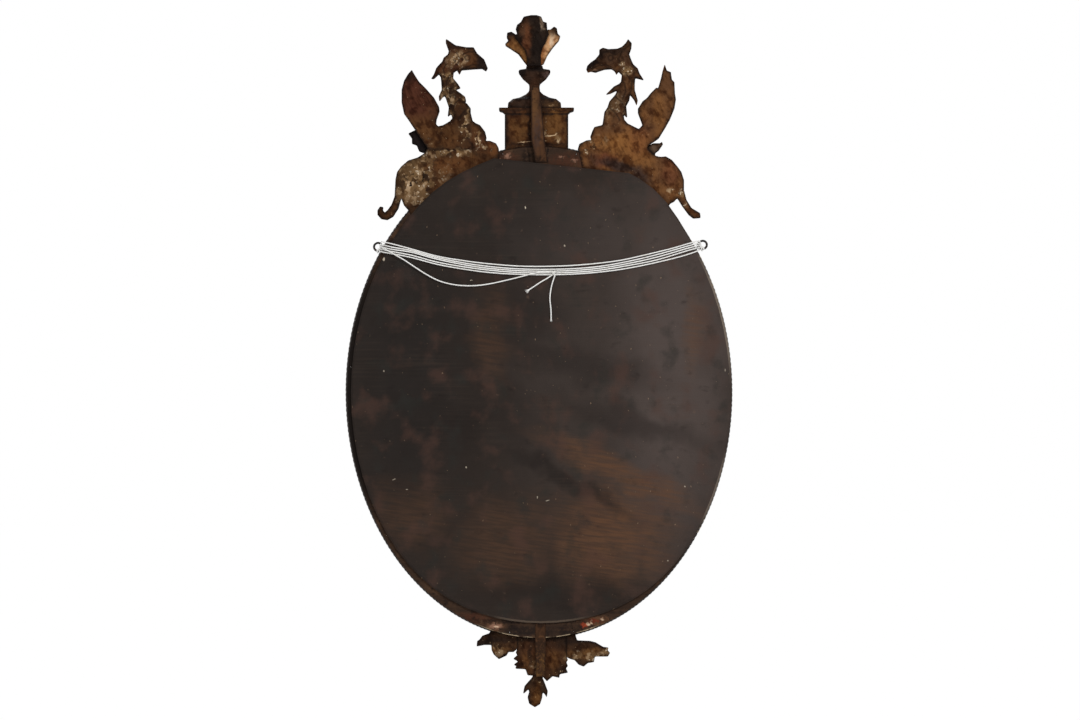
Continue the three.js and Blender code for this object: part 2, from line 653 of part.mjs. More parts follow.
// Everything below the straight top cut.
function topCutLoop(shrink, y) {
  const cut = (x) => OVAL_TOP - BOARD_TOP_DROP - shrink + BOARD_TOP_SLOPE * x;
  return [[-OVAL_WIDTH, -OVAL_HEIGHT], [OVAL_WIDTH, -OVAL_HEIGHT], [OVAL_WIDTH, cut(OVAL_WIDTH)],
    [-OVAL_WIDTH, cut(-OVAL_WIDTH)]].map(([x, z]) => new THREE.Vector3(x, y, z));
}

const chamferStart = BOARD_CHAMFER - BOARD_THICKNESS;
const seenFromBack = (point) => new THREE.Vector2(point.x, point.z);
const boardStages = [[0, -BOARD_THICKNESS], [0, chamferStart], [BOARD_CHAMFER, 0]];
const backboard = loft(boardStages.map(([shrink, y]) => boardLoop(shrink, y)), seenFromBack)
  .intersect(loft(boardStages.map(([shrink, y]) => topCutLoop(shrink, y)), seenFromBack));
addPiece('backboard', backboard, STAINED_BOARD);

// Crest -------------------------------------------------------------------------------------------
// Heights here are measured from the top of the oval.
const plinthTop = OVAL_TOP + PLINTH_HEIGHT;
const plinthOutline = [
  [PLINTH_SHIFT - PLINTH_WIDTH / 2, OVAL_TOP - PLINTH_SKIRT],
  [PLINTH_SHIFT + PLINTH_WIDTH / 2, OVAL_TOP - PLINTH_SKIRT],
  [PLINTH_SHIFT + PLINTH_WIDTH / 2, plinthTop],
  [PLINTH_SHIFT - PLINTH_WIDTH / 2, plinthTop],
];
const plinth = sawn(plinthOutline, CREST_BACK, CREST_BACK - PLINTH_DEPTH).subtract(FRAME_ROOM);
addPiece('crest_plinth', plinth, CARVED_WOOD);

function corniceLoop(overhang, z) {
  const half = PLINTH_WIDTH / 2 + overhang;
  const front = CREST_BACK - PLINTH_DEPTH - overhang;
  return [
    new THREE.Vector3(PLINTH_SHIFT - half, CREST_BACK, z),
    new THREE.Vector3(PLINTH_SHIFT + half, CREST_BACK, z),
    new THREE.Vector3(PLINTH_SHIFT + half, front, z),
    new THREE.Vector3(PLINTH_SHIFT - half, front, z),
  ];
}
const corniceBase = plinthTop + SEAT_GAP;
const corniceTop = corniceBase + CORNICE_HEIGHT;
const cornice = loft([
  corniceLoop(1, corniceBase),
  corniceLoop(0.35 * CORNICE_OVERHANG, corniceBase + 0.3 * CORNICE_HEIGHT),
  corniceLoop(0.85 * CORNICE_OVERHANG, corniceBase + 0.45 * CORNICE_HEIGHT),
  corniceLoop(CORNICE_OVERHANG, corniceBase + 0.6 * CORNICE_HEIGHT),
  corniceLoop(CORNICE_OVERHANG, corniceTop),
], (point) => new THREE.Vector2(point.x, point.y));
addPiece('crest_cornice', cornice, CARVED_WOOD);

// Turned ogee shoulder, neck, cup and collar, as radius and height above the cornice.
const balusterProfile = [[0, 0], [54, 0], [53, 10], [44, 17.5], [30, 20.5], [17, 27], [11, 33], [10, 41],
  [11, 47], [23, 57], [31, 68], [32, 73], [30.5, 76], [17, 78], [16, 84], [0, 84]];
const BALUSTER_HEIGHT = balusterProfile[balusterProfile.length - 1][1];
const balusterAxis = { x: PLINTH_SHIFT + 4, y: CREST_BACK - PLINTH_DEPTH / 2 };
const balusterSection = balusterProfile.map(([r, h]) => new THREE.Vector2(r, h));
const turned = new THREE.LatheGeometry(balusterSection, BALUSTER_FLATS);
turned.rotateX(Math.PI / 2);
turned.scale(1, BALUSTER_FLATTEN, 1);
turned.translate(balusterAxis.x, balusterAxis.y, corniceTop + SEAT_GAP);
const wall = [
  [-OVAL_WIDTH, 0], [OVAL_WIDTH, 0],
  [OVAL_WIDTH, 2 * OVAL_HEIGHT], [-OVAL_WIDTH, 2 * OVAL_HEIGHT],
];
const behindCrest = sawn(wall, OVAL_WIDTH, CREST_BACK);
addPiece('crest_baluster', solidFromGeometry(turned).subtract(behindCrest), CARVED_WOOD);

// Finial leaves, measured from the top of the baluster.
const leafFoot = corniceTop + BALUSTER_HEIGHT + 2 * SEAT_GAP;
const middleLeaf = [
  [23, 0], [23, 18], [27, 30], [36, 42], [45, 52], [48, 60], [43, 63], [46, 72], [43, 81], [36, 86],
  [30, 97], [16, 100], [5, 100], [-4, 97], [-8, 87], [-15, 85], [-16, 71], [-19, 62], [-12, 46], [-6, 34],
  [-3, 20], [-3, 0],
];
const rightLeaf = [
  [24, 0], [30, 8], [41, 23], [58, 34], [66, 39], [67, 43], [61, 49], [64, 56], [63, 65], [55, 67],
  [47, 62], [30, 40], [14, 12],
];
const leftLeaf = [
  [-4, 0], [-9, 3], [-16, 19], [-27, 35], [-39, 49], [-42, 58], [-37, 63], [-35, 74], [-30, 77],
  [-23, 71], [-16, 71], [-2, 40], [6, 12],
];
const leafCut = { back: CREST_BACK, edge: LEAF_THICKNESS, crown: LEAF_CROWN, swell: 14 };
const sideLeafCut = { ...leafCut, back: CREST_BACK - 5 };
const middlePlaced = moved(middleLeaf, 0, leafFoot);
const middleRoom = sawn(grown(middlePlaced, SEAT_GAP), BEHIND, AHEAD);
addPiece('finial_leaf_middle', carved(middlePlaced, leafCut), CARVED_WOOD);
for (const [side, outline] of [['right', rightLeaf], ['left', leftLeaf]]) {
  const blade = carved(moved(outline, 0, leafFoot), sideLeafCut).subtract(middleRoom);
  addPiece(`finial_leaf_${side}`, pieceNear(blade, [outline[5][0], outline[5][1] + leafFoot]), CARVED_WOOD);
}

// Pendant -----------------------------------------------------------------------------------------
// Outlines measured from the foot of the oval. Their tops run inside the frame and are cut away by it.
const pendantCut = { back: CREST_BACK, edge: PENDANT_THICKNESS, crown: PENDANT_CROWN, swell: 16 };
const pendantPieces = {
  pendant_leaf_right: [
    [124, -13], [123, -3], [119, -1], [113, 7], [99, 12], [87, 39], [42.3, 39], [42.3, -17], [51, -24],
    [61, -24], [65, -31], [80, -38], [90, -29], [94, -21], [95, -10], [109, -10],
  ],
  pendant_leaf_left: [
    [-73, 7], [-76, -2], [-101, -3], [-113, -6], [-128, -15], [-138, -16], [-136, -21], [-141, -26],
    [-137, -33], [-111, -33], [-109, -44], [-97, -46], [-89, -53], [-79, -49], [-71, -40], [-63, -38],
    [-54.3, -34], [-54.3, 39], [-71, 39],
  ],
  pendant_shell: [
    [42, 39], [42, -17], [45, -26], [42, -31], [50, -38], [40, -43], [49, -50], [43, -52], [47, -57],
    [26, -58], [22, -70], [11, -71], [-8, -73], [-16, -82], [-27, -72], [-40, -75], [-41, -68],
    [-57, -65], [-53, -57], [-57, -52], [-54, -45], [-57, -40], [-54, -34], [-54, 39],
  ],
  pendant_drop: [
    [11, -71.3], [14, -77], [28, -93], [31, -108], [20, -98], [19, -105], [22, -115], [19, -127],
    [8, -134], [-2, -128], [-6, -115], [-7, -103], [-12, -109], [-15, -114], [-17, -103], [-11, -87],
    [-7, -77], [-8, -73.3],
  ],
};
for (const [name, outline] of Object.entries(pendantPieces)) {
  addPiece(name, carved(moved(outline, 0, -OVAL_TOP), pendantCut).subtract(FRAME_ROOM), CARVED_WOOD);
}

// Hanging cord ------------------------------------------------------------------------------------
// A round cord with a section at each point of its route.
function cordTube(route, diameter) {
  const curve = new THREE.CatmullRomCurve3(route.map((p) => new THREE.Vector3(...p)), false, 'centripetal');
  curve.getUtoTmapping = (share) => share;
  const sides = 8;
  const section = Array.from({ length: sides }, (_, i) => {
    const angle = (i * 2 * Math.PI) / sides;
    return new THREE.Vector2((diameter / 2) * Math.cos(angle), (diameter / 2) * Math.sin(angle));
  });
  const steps = route.length - 1;
  const shape = new THREE.Shape(section);
  return solidFromGeometry(new THREE.ExtrudeGeometry(shape, { extrudePath: curve, steps }));
}

const cordRoutes = {
  cord_strand_1: [
    [315, -6.4, 300.5], [305, -1.8, 298.8], [295, 3.6, 296.6], [255, 3.8, 286], [204, 3.8, 271.8],
    [153, 3.8, 263], [102, 3.8, 256.6], [30, 3.8, 251.4], [-50, 3.8, 252.2], [-110, 3.8, 256.6],
    [-163, 3.8, 263.4], [-209, 3.8, 273.4], [-267, 3.8, 287.6], [-297, 3.8, 296.4],
    [-304, 3.4, 298.2], [-310, -0.6, 299.8], [-318, -6.4, 302],
  ],
  cord_strand_2: [
    [314, -6.4, 294.6], [304.5, -2, 292.4], [294, 3.7, 289.8], [255, 3.8, 282], [204, 3.8, 268.3],
    [125, 3.8, 254.2], [40, 3.8, 246.2], [-50, 3.8, 245.9], [-117, 3.8, 250.8], [-180, 3.8, 261.6],
    [-235, 3.8, 274.6], [-296, 3.8, 291.6], [-306.5, 3.3, 294.4], [-312, -1.4, 296], [-318, -6.4, 297.8],
  ],
  cord_strand_3: [
    [314.4, -6.4, 290.2], [305.5, -0.8, 287.8], [295, 4, 285.4], [255, 3.8, 278.2], [204, 3.8, 264.7],
    [125, 3.8, 250.4], [40, 3.8, 242.6], [-50, 3.8, 242.2], [-117, 3.8, 247], [-180, 3.8, 257.4],
    [-235, 3.8, 269.6], [-296, 3.8, 287.2], [-308.5, 3.3, 290.4], [-313.5, -1.6, 291.9], [-318, -6.4, 293.4],
  ],
  cord_strand_4: [
    [315.2, -6.4, 285.8], [308.5, -1.4, 284], [298, 4, 281.6], [255, 3.8, 274.4], [204, 3.8, 261.1],
    [125, 3.8, 246.7], [40, 3.8, 239], [-50, 3.8, 238.6], [-117, 3.8, 243.2], [-180, 3.8, 253.2],
    [-235, 3.8, 264.2], [-298, 3.8, 283.2], [-310, 3.4, 286.2], [-315, -1.4, 287.6], [-319.4, -6.4, 289],
  ],
  cord_strand_5: [
    [316.6, -6.4, 281.4], [311, -1, 279.8], [299, 4, 277.6], [255, 3.8, 270.4], [204, 3.8, 257.4],
    [153, 3.8, 247.4], [102, 3.8, 240], [40, 3.8, 235.4], [-50, 3.8, 235.1], [-110, 3.8, 238.8],
    [-163, 3.8, 245.2], [-198, 3.8, 251.4], [-233, 3.8, 258.8], [-279, 3.8, 270], [-300, 3.8, 276.2],
    [-312.5, 3.4, 280.6], [-317.5, -1.4, 282.9], [-321.5, -6.4, 284.8],
  ],
  cord_slack: [
    [313, -1.8, 288.4], [306, 3.8, 285.2], [298, 7.6, 281], [288, 7.6, 275], [268, 7, 263.6], [247, 6, 249.6],
    [224, 5, 235], [199, 4.4, 222.4], [168, 4, 214.6], [133, 4, 212.6], [102, 4, 215.8],
    [71, 4.2, 222.2], [41, 5.6, 229.4], [18, 7.4, 235.4], [-2, 8.8, 239.4], [-23, 9.2, 240],
  ],
  cord_tail_short: [
    [-26.4, 9.2, 234.2], [-18, 8.2, 228.5], [-2, 6.5, 219], [10, 5.2, 211], [20, 4.6, 204.6],
  ],
  cord_tail_long: [
    [-32, 9.2, 234.4], [-28.5, 7.6, 224], [-24.8, 5.4, 211], [-21.8, 4.4, 188.6], [-23.8, 4.2, 164.6],
    [-24.2, 4.2, 145.6],
  ],
};
for (const [name, route] of Object.entries(cordRoutes)) {
  addPiece(name, cordTube(route, CORD_DIAMETER), COTTON);
}

const knot = new THREE.SphereGeometry(KNOT_WIDTH / 2, 10, 8);
knot.scale(1, 0.64, 0.82);
knot.translate(...KNOT_PLACE);
addPiece('cord_knot', solidFromGeometry(knot), COTTON);

// The turns of cord lashed round the inner half of each eye, squeezed where they lie against the frame.
for (const eye of eyeFittings) {
  const inwards = Math.atan2(-eye.outwards[1], -eye.outwards[0]);
  const stops = [-80, -50, -20, 20, 50, 80].map((turn) => inwards + THREE.MathUtils.degToRad(turn));
  const route = stops.map((angle) => [
    eye.center.x + EYE_RADIUS * Math.cos(angle),
    eye.center.y,
    eye.center.z + EYE_RADIUS * Math.sin(angle),
  ]);
  const wire = eyeRing(eye, EYE_WIRE / 2 + SEAT_GAP).add(eyeShank(eye, EYE_WIRE / 2 + SEAT_GAP, 0));
  const turns = cutAll(cordTube(route, LASHING_DIAMETER), [wire, FRAME_ROOM]);
  addPiece(`cord_lashing_${eye.side}`, turns, COTTON);
}

export default mirror;
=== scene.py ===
import math

import bpy
import numpy as np
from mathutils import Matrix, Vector
from mathutils.kdtree import KDTree


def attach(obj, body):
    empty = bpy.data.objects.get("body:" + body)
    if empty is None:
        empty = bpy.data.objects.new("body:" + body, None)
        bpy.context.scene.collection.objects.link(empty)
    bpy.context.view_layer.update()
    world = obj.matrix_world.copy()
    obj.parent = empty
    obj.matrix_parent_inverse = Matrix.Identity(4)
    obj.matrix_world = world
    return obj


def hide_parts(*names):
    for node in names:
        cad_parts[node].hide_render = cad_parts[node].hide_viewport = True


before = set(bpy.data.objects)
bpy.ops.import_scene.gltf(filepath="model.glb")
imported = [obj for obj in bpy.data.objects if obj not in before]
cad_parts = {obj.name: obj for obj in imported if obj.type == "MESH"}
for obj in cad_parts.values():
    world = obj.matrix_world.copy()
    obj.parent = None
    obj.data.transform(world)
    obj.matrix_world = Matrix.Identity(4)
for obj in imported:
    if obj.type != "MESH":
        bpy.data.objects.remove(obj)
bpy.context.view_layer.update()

# View, light and floor ------------------------------------------------------------------------------
# The mirror is seen square from behind, from twelve metres off with a long lens, and nothing but white is
# behind it. Soft lamps stand on both sides of it, because its front is looked at as well.
bpy.ops.object.select_all(action="DESELECT")
bpy.ops.object.camera_add(
    location=(-0.0020, 11.96, 0.0646), rotation=(math.radians(90), 0, math.radians(180)),
)
camera = bpy.context.object
camera.data.lens = 200
camera.data.sensor_width = 36
bpy.context.scene.camera = camera
bpy.context.scene.view_settings.view_transform = "Standard"

for place, watts, width in [
    ((-1.6, 3.6, 2.3), 92, 1.1),
    ((2.3, 3.4, 0.4), 30, 1.6),
    ((1.6, -3.6, 2.3), 92, 1.1),
    ((-2.3, -3.4, 0.4), 30, 1.6),
]:
    bpy.ops.object.light_add(type="AREA", location=place)
    lamp = bpy.context.object
    lamp.data.energy = watts
    lamp.data.size = width
    lamp.rotation_euler = (Vector((0, 0, 0.1)) - Vector(place)).to_track_quat("-Z", "Y").to_euler()

studio = bpy.data.worlds.new("studio")
bpy.context.scene.world = studio
studio.use_nodes = True
air = studio.node_tree
air.nodes.clear()


def seen_ray(tree):
    """1 for the rays that look at a background, 0 for those that light the mirror."""
    rays = tree.nodes.new("ShaderNodeLightPath")
    either = tree.nodes.new("ShaderNodeMath")
    either.operation = "MAXIMUM"
    tree.links.new(rays.outputs["Is Camera Ray"], either.inputs[0])
    tree.links.new(rays.outputs["Is Glossy Ray"], either.inputs[1])
    every = tree.nodes.new("ShaderNodeMath")
    every.operation = "MAXIMUM"
    tree.links.new(either.outputs[0], every.inputs[0])
    tree.links.new(rays.outputs["Is Transmission Ray"], every.inputs[1])
    return every.outputs[0]


lighting = air.nodes.new("ShaderNodeBackground")
lighting.inputs["Strength"].default_value = 0.4
white = air.nodes.new("ShaderNodeBackground")
white.inputs["Color"].default_value = (1, 1, 1, 1)
white.inputs["Strength"].default_value = 1
choice = air.nodes.new("ShaderNodeMixShader")
air.links.new(seen_ray(air), choice.inputs[0])
air.links.new(lighting.outputs[0], choice.inputs[1])
air.links.new(white.outputs[0], choice.inputs[2])
sky = air.nodes.new("ShaderNodeOutputWorld")
air.links.new(choice.outputs[0], sky.inputs["Surface"])

bpy.ops.mesh.primitive_plane_add(size=60, location=(0, 0, -1.1))
floor = bpy.context.object
floor.name = "floor"
paper = bpy.data.materials.new("white_paper")
paper.use_nodes = True
sheet = paper.node_tree
matt = sheet.nodes["Principled BSDF"]
matt.inputs["Base Color"].default_value = (0.9, 0.9, 0.9, 1)
matt.inputs["Roughness"].default_value = 0.9
matt.inputs["Specular IOR Level"].default_value = 0
glow = sheet.nodes.new("ShaderNodeEmission")
glow.inputs["Strength"].default_value = 1.08
faded = sheet.nodes.new("ShaderNodeMixShader")
share = sheet.nodes.new("ShaderNodeMath")
share.operation = "MULTIPLY"
share.inputs[1].default_value = 0.9
sheet.links.new(seen_ray(sheet), share.inputs[0])
sheet.links.new(share.outputs[0], faded.inputs[0])
sheet.links.new(matt.outputs[0], faded.inputs[1])
sheet.links.new(glow.outputs[0], faded.inputs[2])
sheet.links.new(faded.outputs[0], sheet.nodes["Material Output"].inputs["Surface"])
floor.data.materials.append(paper)

# Hanging cord ---------------------------------------------------------------------------------------
# White picture cord of three plies, 2.8 mm thick, led back and forth between two screw eyes and tied off
# left of the middle. The strands hang together in a shallow bow, one of them slack, and the two tails
# below the knot end frayed.


def rgb(red, green, blue):
    """A colour as it looks on a screen, 0 to 255, as the shaders take it."""
    return tuple(
        ((c / 255 + 0.055) / 1.055) ** 2.4 if c > 10 else c / 3294.6 for c in (red, green, blue)
    ) + (1.0,)


class Finish:
    """A surface worked up in coats over a ground colour, with its grain and wear."""

    def __init__(self, name, ground, roughness, metallic=0.0, specular=0.3):
        self.material = bpy.data.materials.new(name)
        self.material.use_nodes = True
        self.tree = self.material.node_tree
        self.shader = self.tree.nodes["Principled BSDF"]
        self.shader.inputs["Roughness"].default_value = roughness
        self.shader.inputs["Metallic"].default_value = metallic
        self.shader.inputs["Specular IOR Level"].default_value = specular
        self.places = self.node("ShaderNodeTexCoord")
        self.place = self.places.outputs["Object"]
        self.colour = rgb(*ground)
        self.relief = None

    def node(self, kind, settings=(), **inputs):
        made = self.tree.nodes.new(kind)
        for key, value in dict(settings).items():
            setattr(made, key, value)
        for key, value in inputs.items():
            socket = made.inputs[int(key[1:])] if key[0] == "i" and key[1:].isdigit() else made.inputs[key]
            self.put(value, socket)
        return made

    def put(self, value, socket):
        if isinstance(value, bpy.types.NodeSocket):
            self.tree.links.new(value, socket)
        else:
            socket.default_value = value

    def maths(self, operation, a, b=0.0):
        return self.node("ShaderNodeMath", {"operation": operation}, i0=a, i1=b).outputs[0]

    def times(self, *shares):
        total = shares[0]
        for share in shares[1:]:
            total = self.maths("MULTIPLY", total, share)
        return total

    def axis(self, source, k):
        """One axis of a place or of the way that a face looks."""
        return self.node("ShaderNodeSeparateXYZ", Vector=source).outputs[k]

    def away(self, place):
        """How far a place lies from the middle."""
        return self.node("ShaderNodeVectorMath", {"operation": "LENGTH"}, i0=place).outputs["Value"]

    def held(self, name):
        """What the vertices of the piece hold under a name."""
        return self.node("ShaderNodeAttribute", {"attribute_name": name}).outputs["Fac"]

    def between(self, value, low, high):
        """0 below low, 1 above high, and a soft step from one to the other."""
        step = self.node("ShaderNodeMapRange", {"interpolation_type": "SMOOTHSTEP"}, Value=value)
        step.inputs["From Min"].default_value = low
        step.inputs["From Max"].default_value = high
        return step.outputs[0]

    def stretched(self, scale, source=None, turn=0.0):
        """The place turned by an angle, counterclockwise as seen from behind, and then scaled."""
        turned = self.node(
            "ShaderNodeVectorRotate", {"rotation_type": "Y_AXIS"}, Vector=source or self.place, Angle=-turn,
        )
        return self.node("ShaderNodeMapping", Vector=turned.outputs[0], Scale=scale).outputs[0]

    def mottle(self, size, low=0.35, high=0.65, stretch=(1, 1, 1), detail=3, rough=0.5, turn=0.0):
        """Soft blotches of about a size in millimetres, stretched along an axis by a share below 1."""
        per_metre = tuple(s * 1000 / size for s in stretch)
        cloud = self.node("ShaderNodeTexNoise", Vector=self.stretched(per_metre, turn=turn), Scale=1.0)
        cloud.inputs["Detail"].default_value = detail
        cloud.inputs["Roughness"].default_value = rough
        return self.between(cloud.outputs["Fac"], low, high)

    def ragged(self, size, amount):
        """The place, shaken by a noise, so that what is drawn by it gets an uneven edge."""
        cloud = self.node("ShaderNodeTexNoise", Vector=self.place, Scale=1000 / size)
        cloud.inputs["Detail"].default_value = 3
        centred = self.node("ShaderNodeVectorMath", {"operation": "SUBTRACT"}, i0=cloud.outputs["Color"],
                            i1=(0.5, 0.5, 0.5)).outputs[0]
        shaken = self.node("ShaderNodeVectorMath", {"operation": "SCALE"}, i0=centred, Scale=amount / 500)
        return self.node(
            "ShaderNodeVectorMath", {"operation": "ADD"}, i0=self.place, i1=shaken.outputs[0],
        ).outputs[0]

    def spots(self, source, patches, edge=0.45):
        """A mask of soft ellipses on the X-Z plane, each [x, z, half width, half height, turn, strength]."""
        total = 0.0
        for x, z, wide, high, turn, strength in patches:
            spin = math.radians(turn)
            centred = self.node("ShaderNodeVectorMath", {"operation": "SUBTRACT"}, i0=source,
                                i1=(x / 1000, 0, z / 1000)).outputs[0]
            local = self.stretched((1000 / wide, 0, 1000 / high), centred, spin)
            mask = self.times(self.between(self.away(local), 1.0 + edge, 1.0 - edge), strength)
            total = self.maths("MAXIMUM", total, mask) if total else mask
        return total

    def coat(self, colour, *amounts, blend="MIX"):
        """One colour over those before it, as strong as its amounts multiplied together."""
        mix = self.node("ShaderNodeMix", {"data_type": "RGBA", "blend_type": blend})
        self.put(self.times(*amounts), mix.inputs[0])
        self.put(self.colour, mix.inputs[6])
        self.put(rgb(*colour), mix.inputs[7])
        self.colour = mix.outputs[2]

    def roughness(self, low, high, mask):
        """Roughness that goes from low to high with a mask."""
        span = self.node("ShaderNodeMapRange", Value=mask)
        span.inputs["To Min"].default_value = low
        span.inputs["To Max"].default_value = high
        self.put(span.outputs[0], self.shader.inputs["Roughness"])

    def bump(self, height, depth, strength=0.6):
        """Relief as deep as depth, in millimetres."""
        rise = self.node("ShaderNodeBump", Height=height, Strength=strength, Distance=depth / 1000)
        if self.relief:
            self.put(self.relief, rise.inputs["Normal"])
        self.relief = rise.outputs[0]

    def done(self):
        """The finished material."""
        self.put(self.colour, self.shader.inputs["Base Color"])
        if self.relief:
            self.put(self.relief, self.shader.inputs["Normal"])
        return self.material


def dress(piece, finish):
    piece.data.materials.clear()
    piece.data.materials.append(finish)


def flat_mesh(name, points, faces):
    mesh = bpy.data.meshes.new(name)
    mesh.from_pydata([tuple(p) for p in points], [], faces)
    mesh.update()
    piece = bpy.data.objects.new(name, mesh)
    bpy.context.scene.collection.objects.link(piece)
    return piece


def smooth_route(route, spacing):
    """Points about every spacing metres on one smooth curve through the points of a route in millimetres."""
    knots = [Vector(p) / 1000 for p in route]
    knots = [2 * knots[0] - knots[1]] + knots + [2 * knots[-1] - knots[-2]]
    dense = []
    for p0, p1, p2, p3 in zip(knots, knots[1:], knots[2:], knots[3:]):
        t0, t1 = 0.0, (p1 - p0).length ** 0.5
        t2 = t1 + (p2 - p1).length ** 0.5
        t3 = t2 + (p3 - p2).length ** 0.5
        for i in range(40):
            t = t1 + (t2 - t1) * i / 40
            a1 = p0.lerp(p1, (t - t0) / (t1 - t0))
            a2 = p1.lerp(p2, (t - t1) / (t2 - t1))
            a3 = p2.lerp(p3, (t - t2) / (t3 - t2))
            b1 = a1.lerp(a2, (t - t0) / (t2 - t0))
            b2 = a2.lerp(a3, (t - t1) / (t3 - t1))
            dense.append(b1.lerp(b2, (t - t1) / (t2 - t1)))
    dense.append(knots[-2])
    line = np.array([list(p) for p in dense])
    travelled = np.concatenate([[0], np.cumsum(np.linalg.norm(np.diff(line, axis=0), axis=1))])
    wanted = np.linspace(0, travelled[-1], max(3, int(travelled[-1] / spacing) + 1))
    return np.stack([np.interp(wanted, travelled, line[:, k]) for k in range(3)], axis=1)


PLY_LAY = 0.0105
PLY_OFFSET = 0.34


def tube_faces(rows, sides, closed=False):
    """The faces of a skin whose points go round it row by row."""
    return [[i * sides + k, i * sides + (k + 1) % sides,
             (i + 1) % rows * sides + (k + 1) % sides, (i + 1) % rows * sides + k]
            for i in range(rows if closed else rows - 1) for k in range(sides)]


def ply_bulge(around, offset):
    """How far out three plies reach at an angle, as a share of the cord's radius."""
    nearest = abs((around * 3 / (2 * math.pi)) % 1 - 0.5) * 2 * math.pi / 3
    return offset * math.cos(nearest) + math.sqrt((1 - offset) ** 2 - (offset * math.sin(nearest)) ** 2)


def laid_cord(name, line, diameter, sides=12):
    """A cord of three plies twisted along a line of points, with UVs that run along it and round it."""
    travelled = np.concatenate([[0], np.cumsum(np.linalg.norm(np.diff(line, axis=0), axis=1))])
    ahead = Vector(line[1] - line[0]).normalized()
    side = ahead.orthogonal().normalized()
    points = []
    for i, middle in enumerate(line):
        after, before = line[min(i + 1, len(line) - 1)], line[max(i - 1, 0)]
        heading = Vector(after - before).normalized()
        side = (side - side.dot(heading) * heading).normalized()
        across = heading.cross(side)
        twist = 2 * math.pi * travelled[i] / PLY_LAY
        for k in range(sides):
            around = 2 * math.pi * k / sides
            reach = diameter / 2 * ply_bulge(around, PLY_OFFSET)
            out = math.cos(around + twist) * side + math.sin(around + twist) * across
            points.append(Vector(middle) + reach * out)
    ends = [list(range(sides))[::-1], list(range(len(points) - sides, len(points)))]
    cord = flat_mesh(name, points, tube_faces(len(line), sides) + ends)
    uv = cord.data.uv_layers.new(name="along")
    for loop in cord.data.loops:
        row, k = divmod(loop.vertex_index, sides)
        uv.data[loop.index].uv = (travelled[row] / PLY_LAY, k / sides)
    cord.data.polygons.foreach_set("use_smooth", [True] * len(cord.data.polygons))
    return cord


cotton = Finish("white_cotton", (248, 247, 244), 0.9, specular=0.1)
cotton.coat((236, 233, 226), cotton.mottle(9, 0.5, 0.75))
fibres = cotton.node(
    "ShaderNodeTexNoise", Vector=cotton.stretched((22, 60, 1), cotton.places.outputs["UV"]), Scale=1.0,
)
cotton.coat((222, 218, 208), cotton.between(fibres.outputs["Fac"], 0.58, 0.76))
cotton.bump(fibres.outputs["Fac"], 0.25)
cotton.shader.inputs["Sheen Weight"].default_value = 0.3
cotton_finish = cotton.done()

CORD_THICKNESS = 0.0028
strand_routes = {
    "cord_strand_1": [
        (315, -6.4, 300.5), (305, -1.8, 298.8), (295, 3.6, 296.6), (255, 3.8, 286), (204, 3.8, 271.8),
        (153, 3.8, 263), (102, 3.8, 256.6), (30, 3.8, 251.4), (-50, 3.8, 252.2), (-110, 3.8, 256.6),
        (-163, 3.8, 263.4), (-209, 3.8, 273.4), (-267, 3.8, 287.6), (-297, 3.8, 296.4), (-304, 3.4, 298.2),
        (-310, -0.6, 299.8), (-318, -6.4, 302),
    ],
    "cord_strand_2": [
        (314, -6.4, 294.6), (304.5, -2, 292.4), (294, 3.7, 289.8), (255, 3.8, 282.7), (204, 3.8, 268.8),
        (125, 3.8, 254.2), (40, 3.8, 246.2), (-50, 3.8, 245.9), (-117, 3.8, 250.8), (-180, 3.8, 261.6),
        (-235, 3.8, 274.6), (-296, 3.8, 291.6), (-306.5, 3.3, 294.4), (-312, -1.4, 296), (-318, -6.4, 297.8),
    ],
    "cord_strand_3": [
        (314.4, -6.4, 290.2), (305.5, -0.8, 287.8), (295, 4, 285.4), (255, 3.8, 279.5), (204, 3.8, 265.7),
        (125, 3.8, 250.4), (40, 3.8, 242.6), (-50, 3.8, 242.2), (-117, 3.8, 247), (-180, 3.8, 257.4),
        (-235, 3.8, 269.6), (-296, 3.8, 287.2), (-308.5, 3.3, 290.4), (-313.5, -1.6, 291.9),
        (-318, -6.4, 293.4),
    ],
    "cord_strand_4": [
        (315.2, -6.4, 285.8), (308.5, -1.4, 284), (298, 4, 281.6), (255, 3.8, 273.6), (204, 3.8, 260),
        (125, 3.8, 246.7), (40, 3.8, 239), (-50, 3.8, 238.6), (-117, 3.8, 243.2), (-180, 3.8, 253.2),
        (-235, 3.8, 264.2), (-298, 3.8, 283.2), (-310, 3.4, 286.2), (-315, -1.4, 287.6), (-319.4, -6.4, 289),
    ],
    "cord_strand_5": [
        (316.6, -6.4, 281.4), (311, -1, 279.8), (299, 4, 277.6), (255, 3.8, 269), (204, 3.8, 255.6),
        (153, 3.8, 246.2), (102, 3.8, 239.4), (40, 3.8, 235.4), (-50, 3.8, 235.1), (-110, 3.8, 238.8),
        (-163, 3.8, 245.2), (-198, 3.8, 251.4), (-233, 3.8, 258.8), (-279, 3.8, 270), (-300, 3.8, 276.2),
        (-312.5, 3.4, 280.6), (-317.5, -1.4, 282.9), (-321.5, -6.4, 284.8),
    ],
    "cord_slack": [
        (313, -1.8, 288.4), (306, 3.8, 285.2), (298, 7.6, 281), (288, 7.6, 275), (268, 7, 263.6),
        (247, 6, 249.6), (224, 5, 235), (199, 4.4, 222.4), (168, 4, 214.6), (133, 4, 212.6), (102, 4, 215.8),
        (71, 4.2, 222.2), (41, 5.6, 229.4), (18, 7.4, 235.4), (-2, 8.8, 239.4), (-23, 9.2, 240),
    ],
}
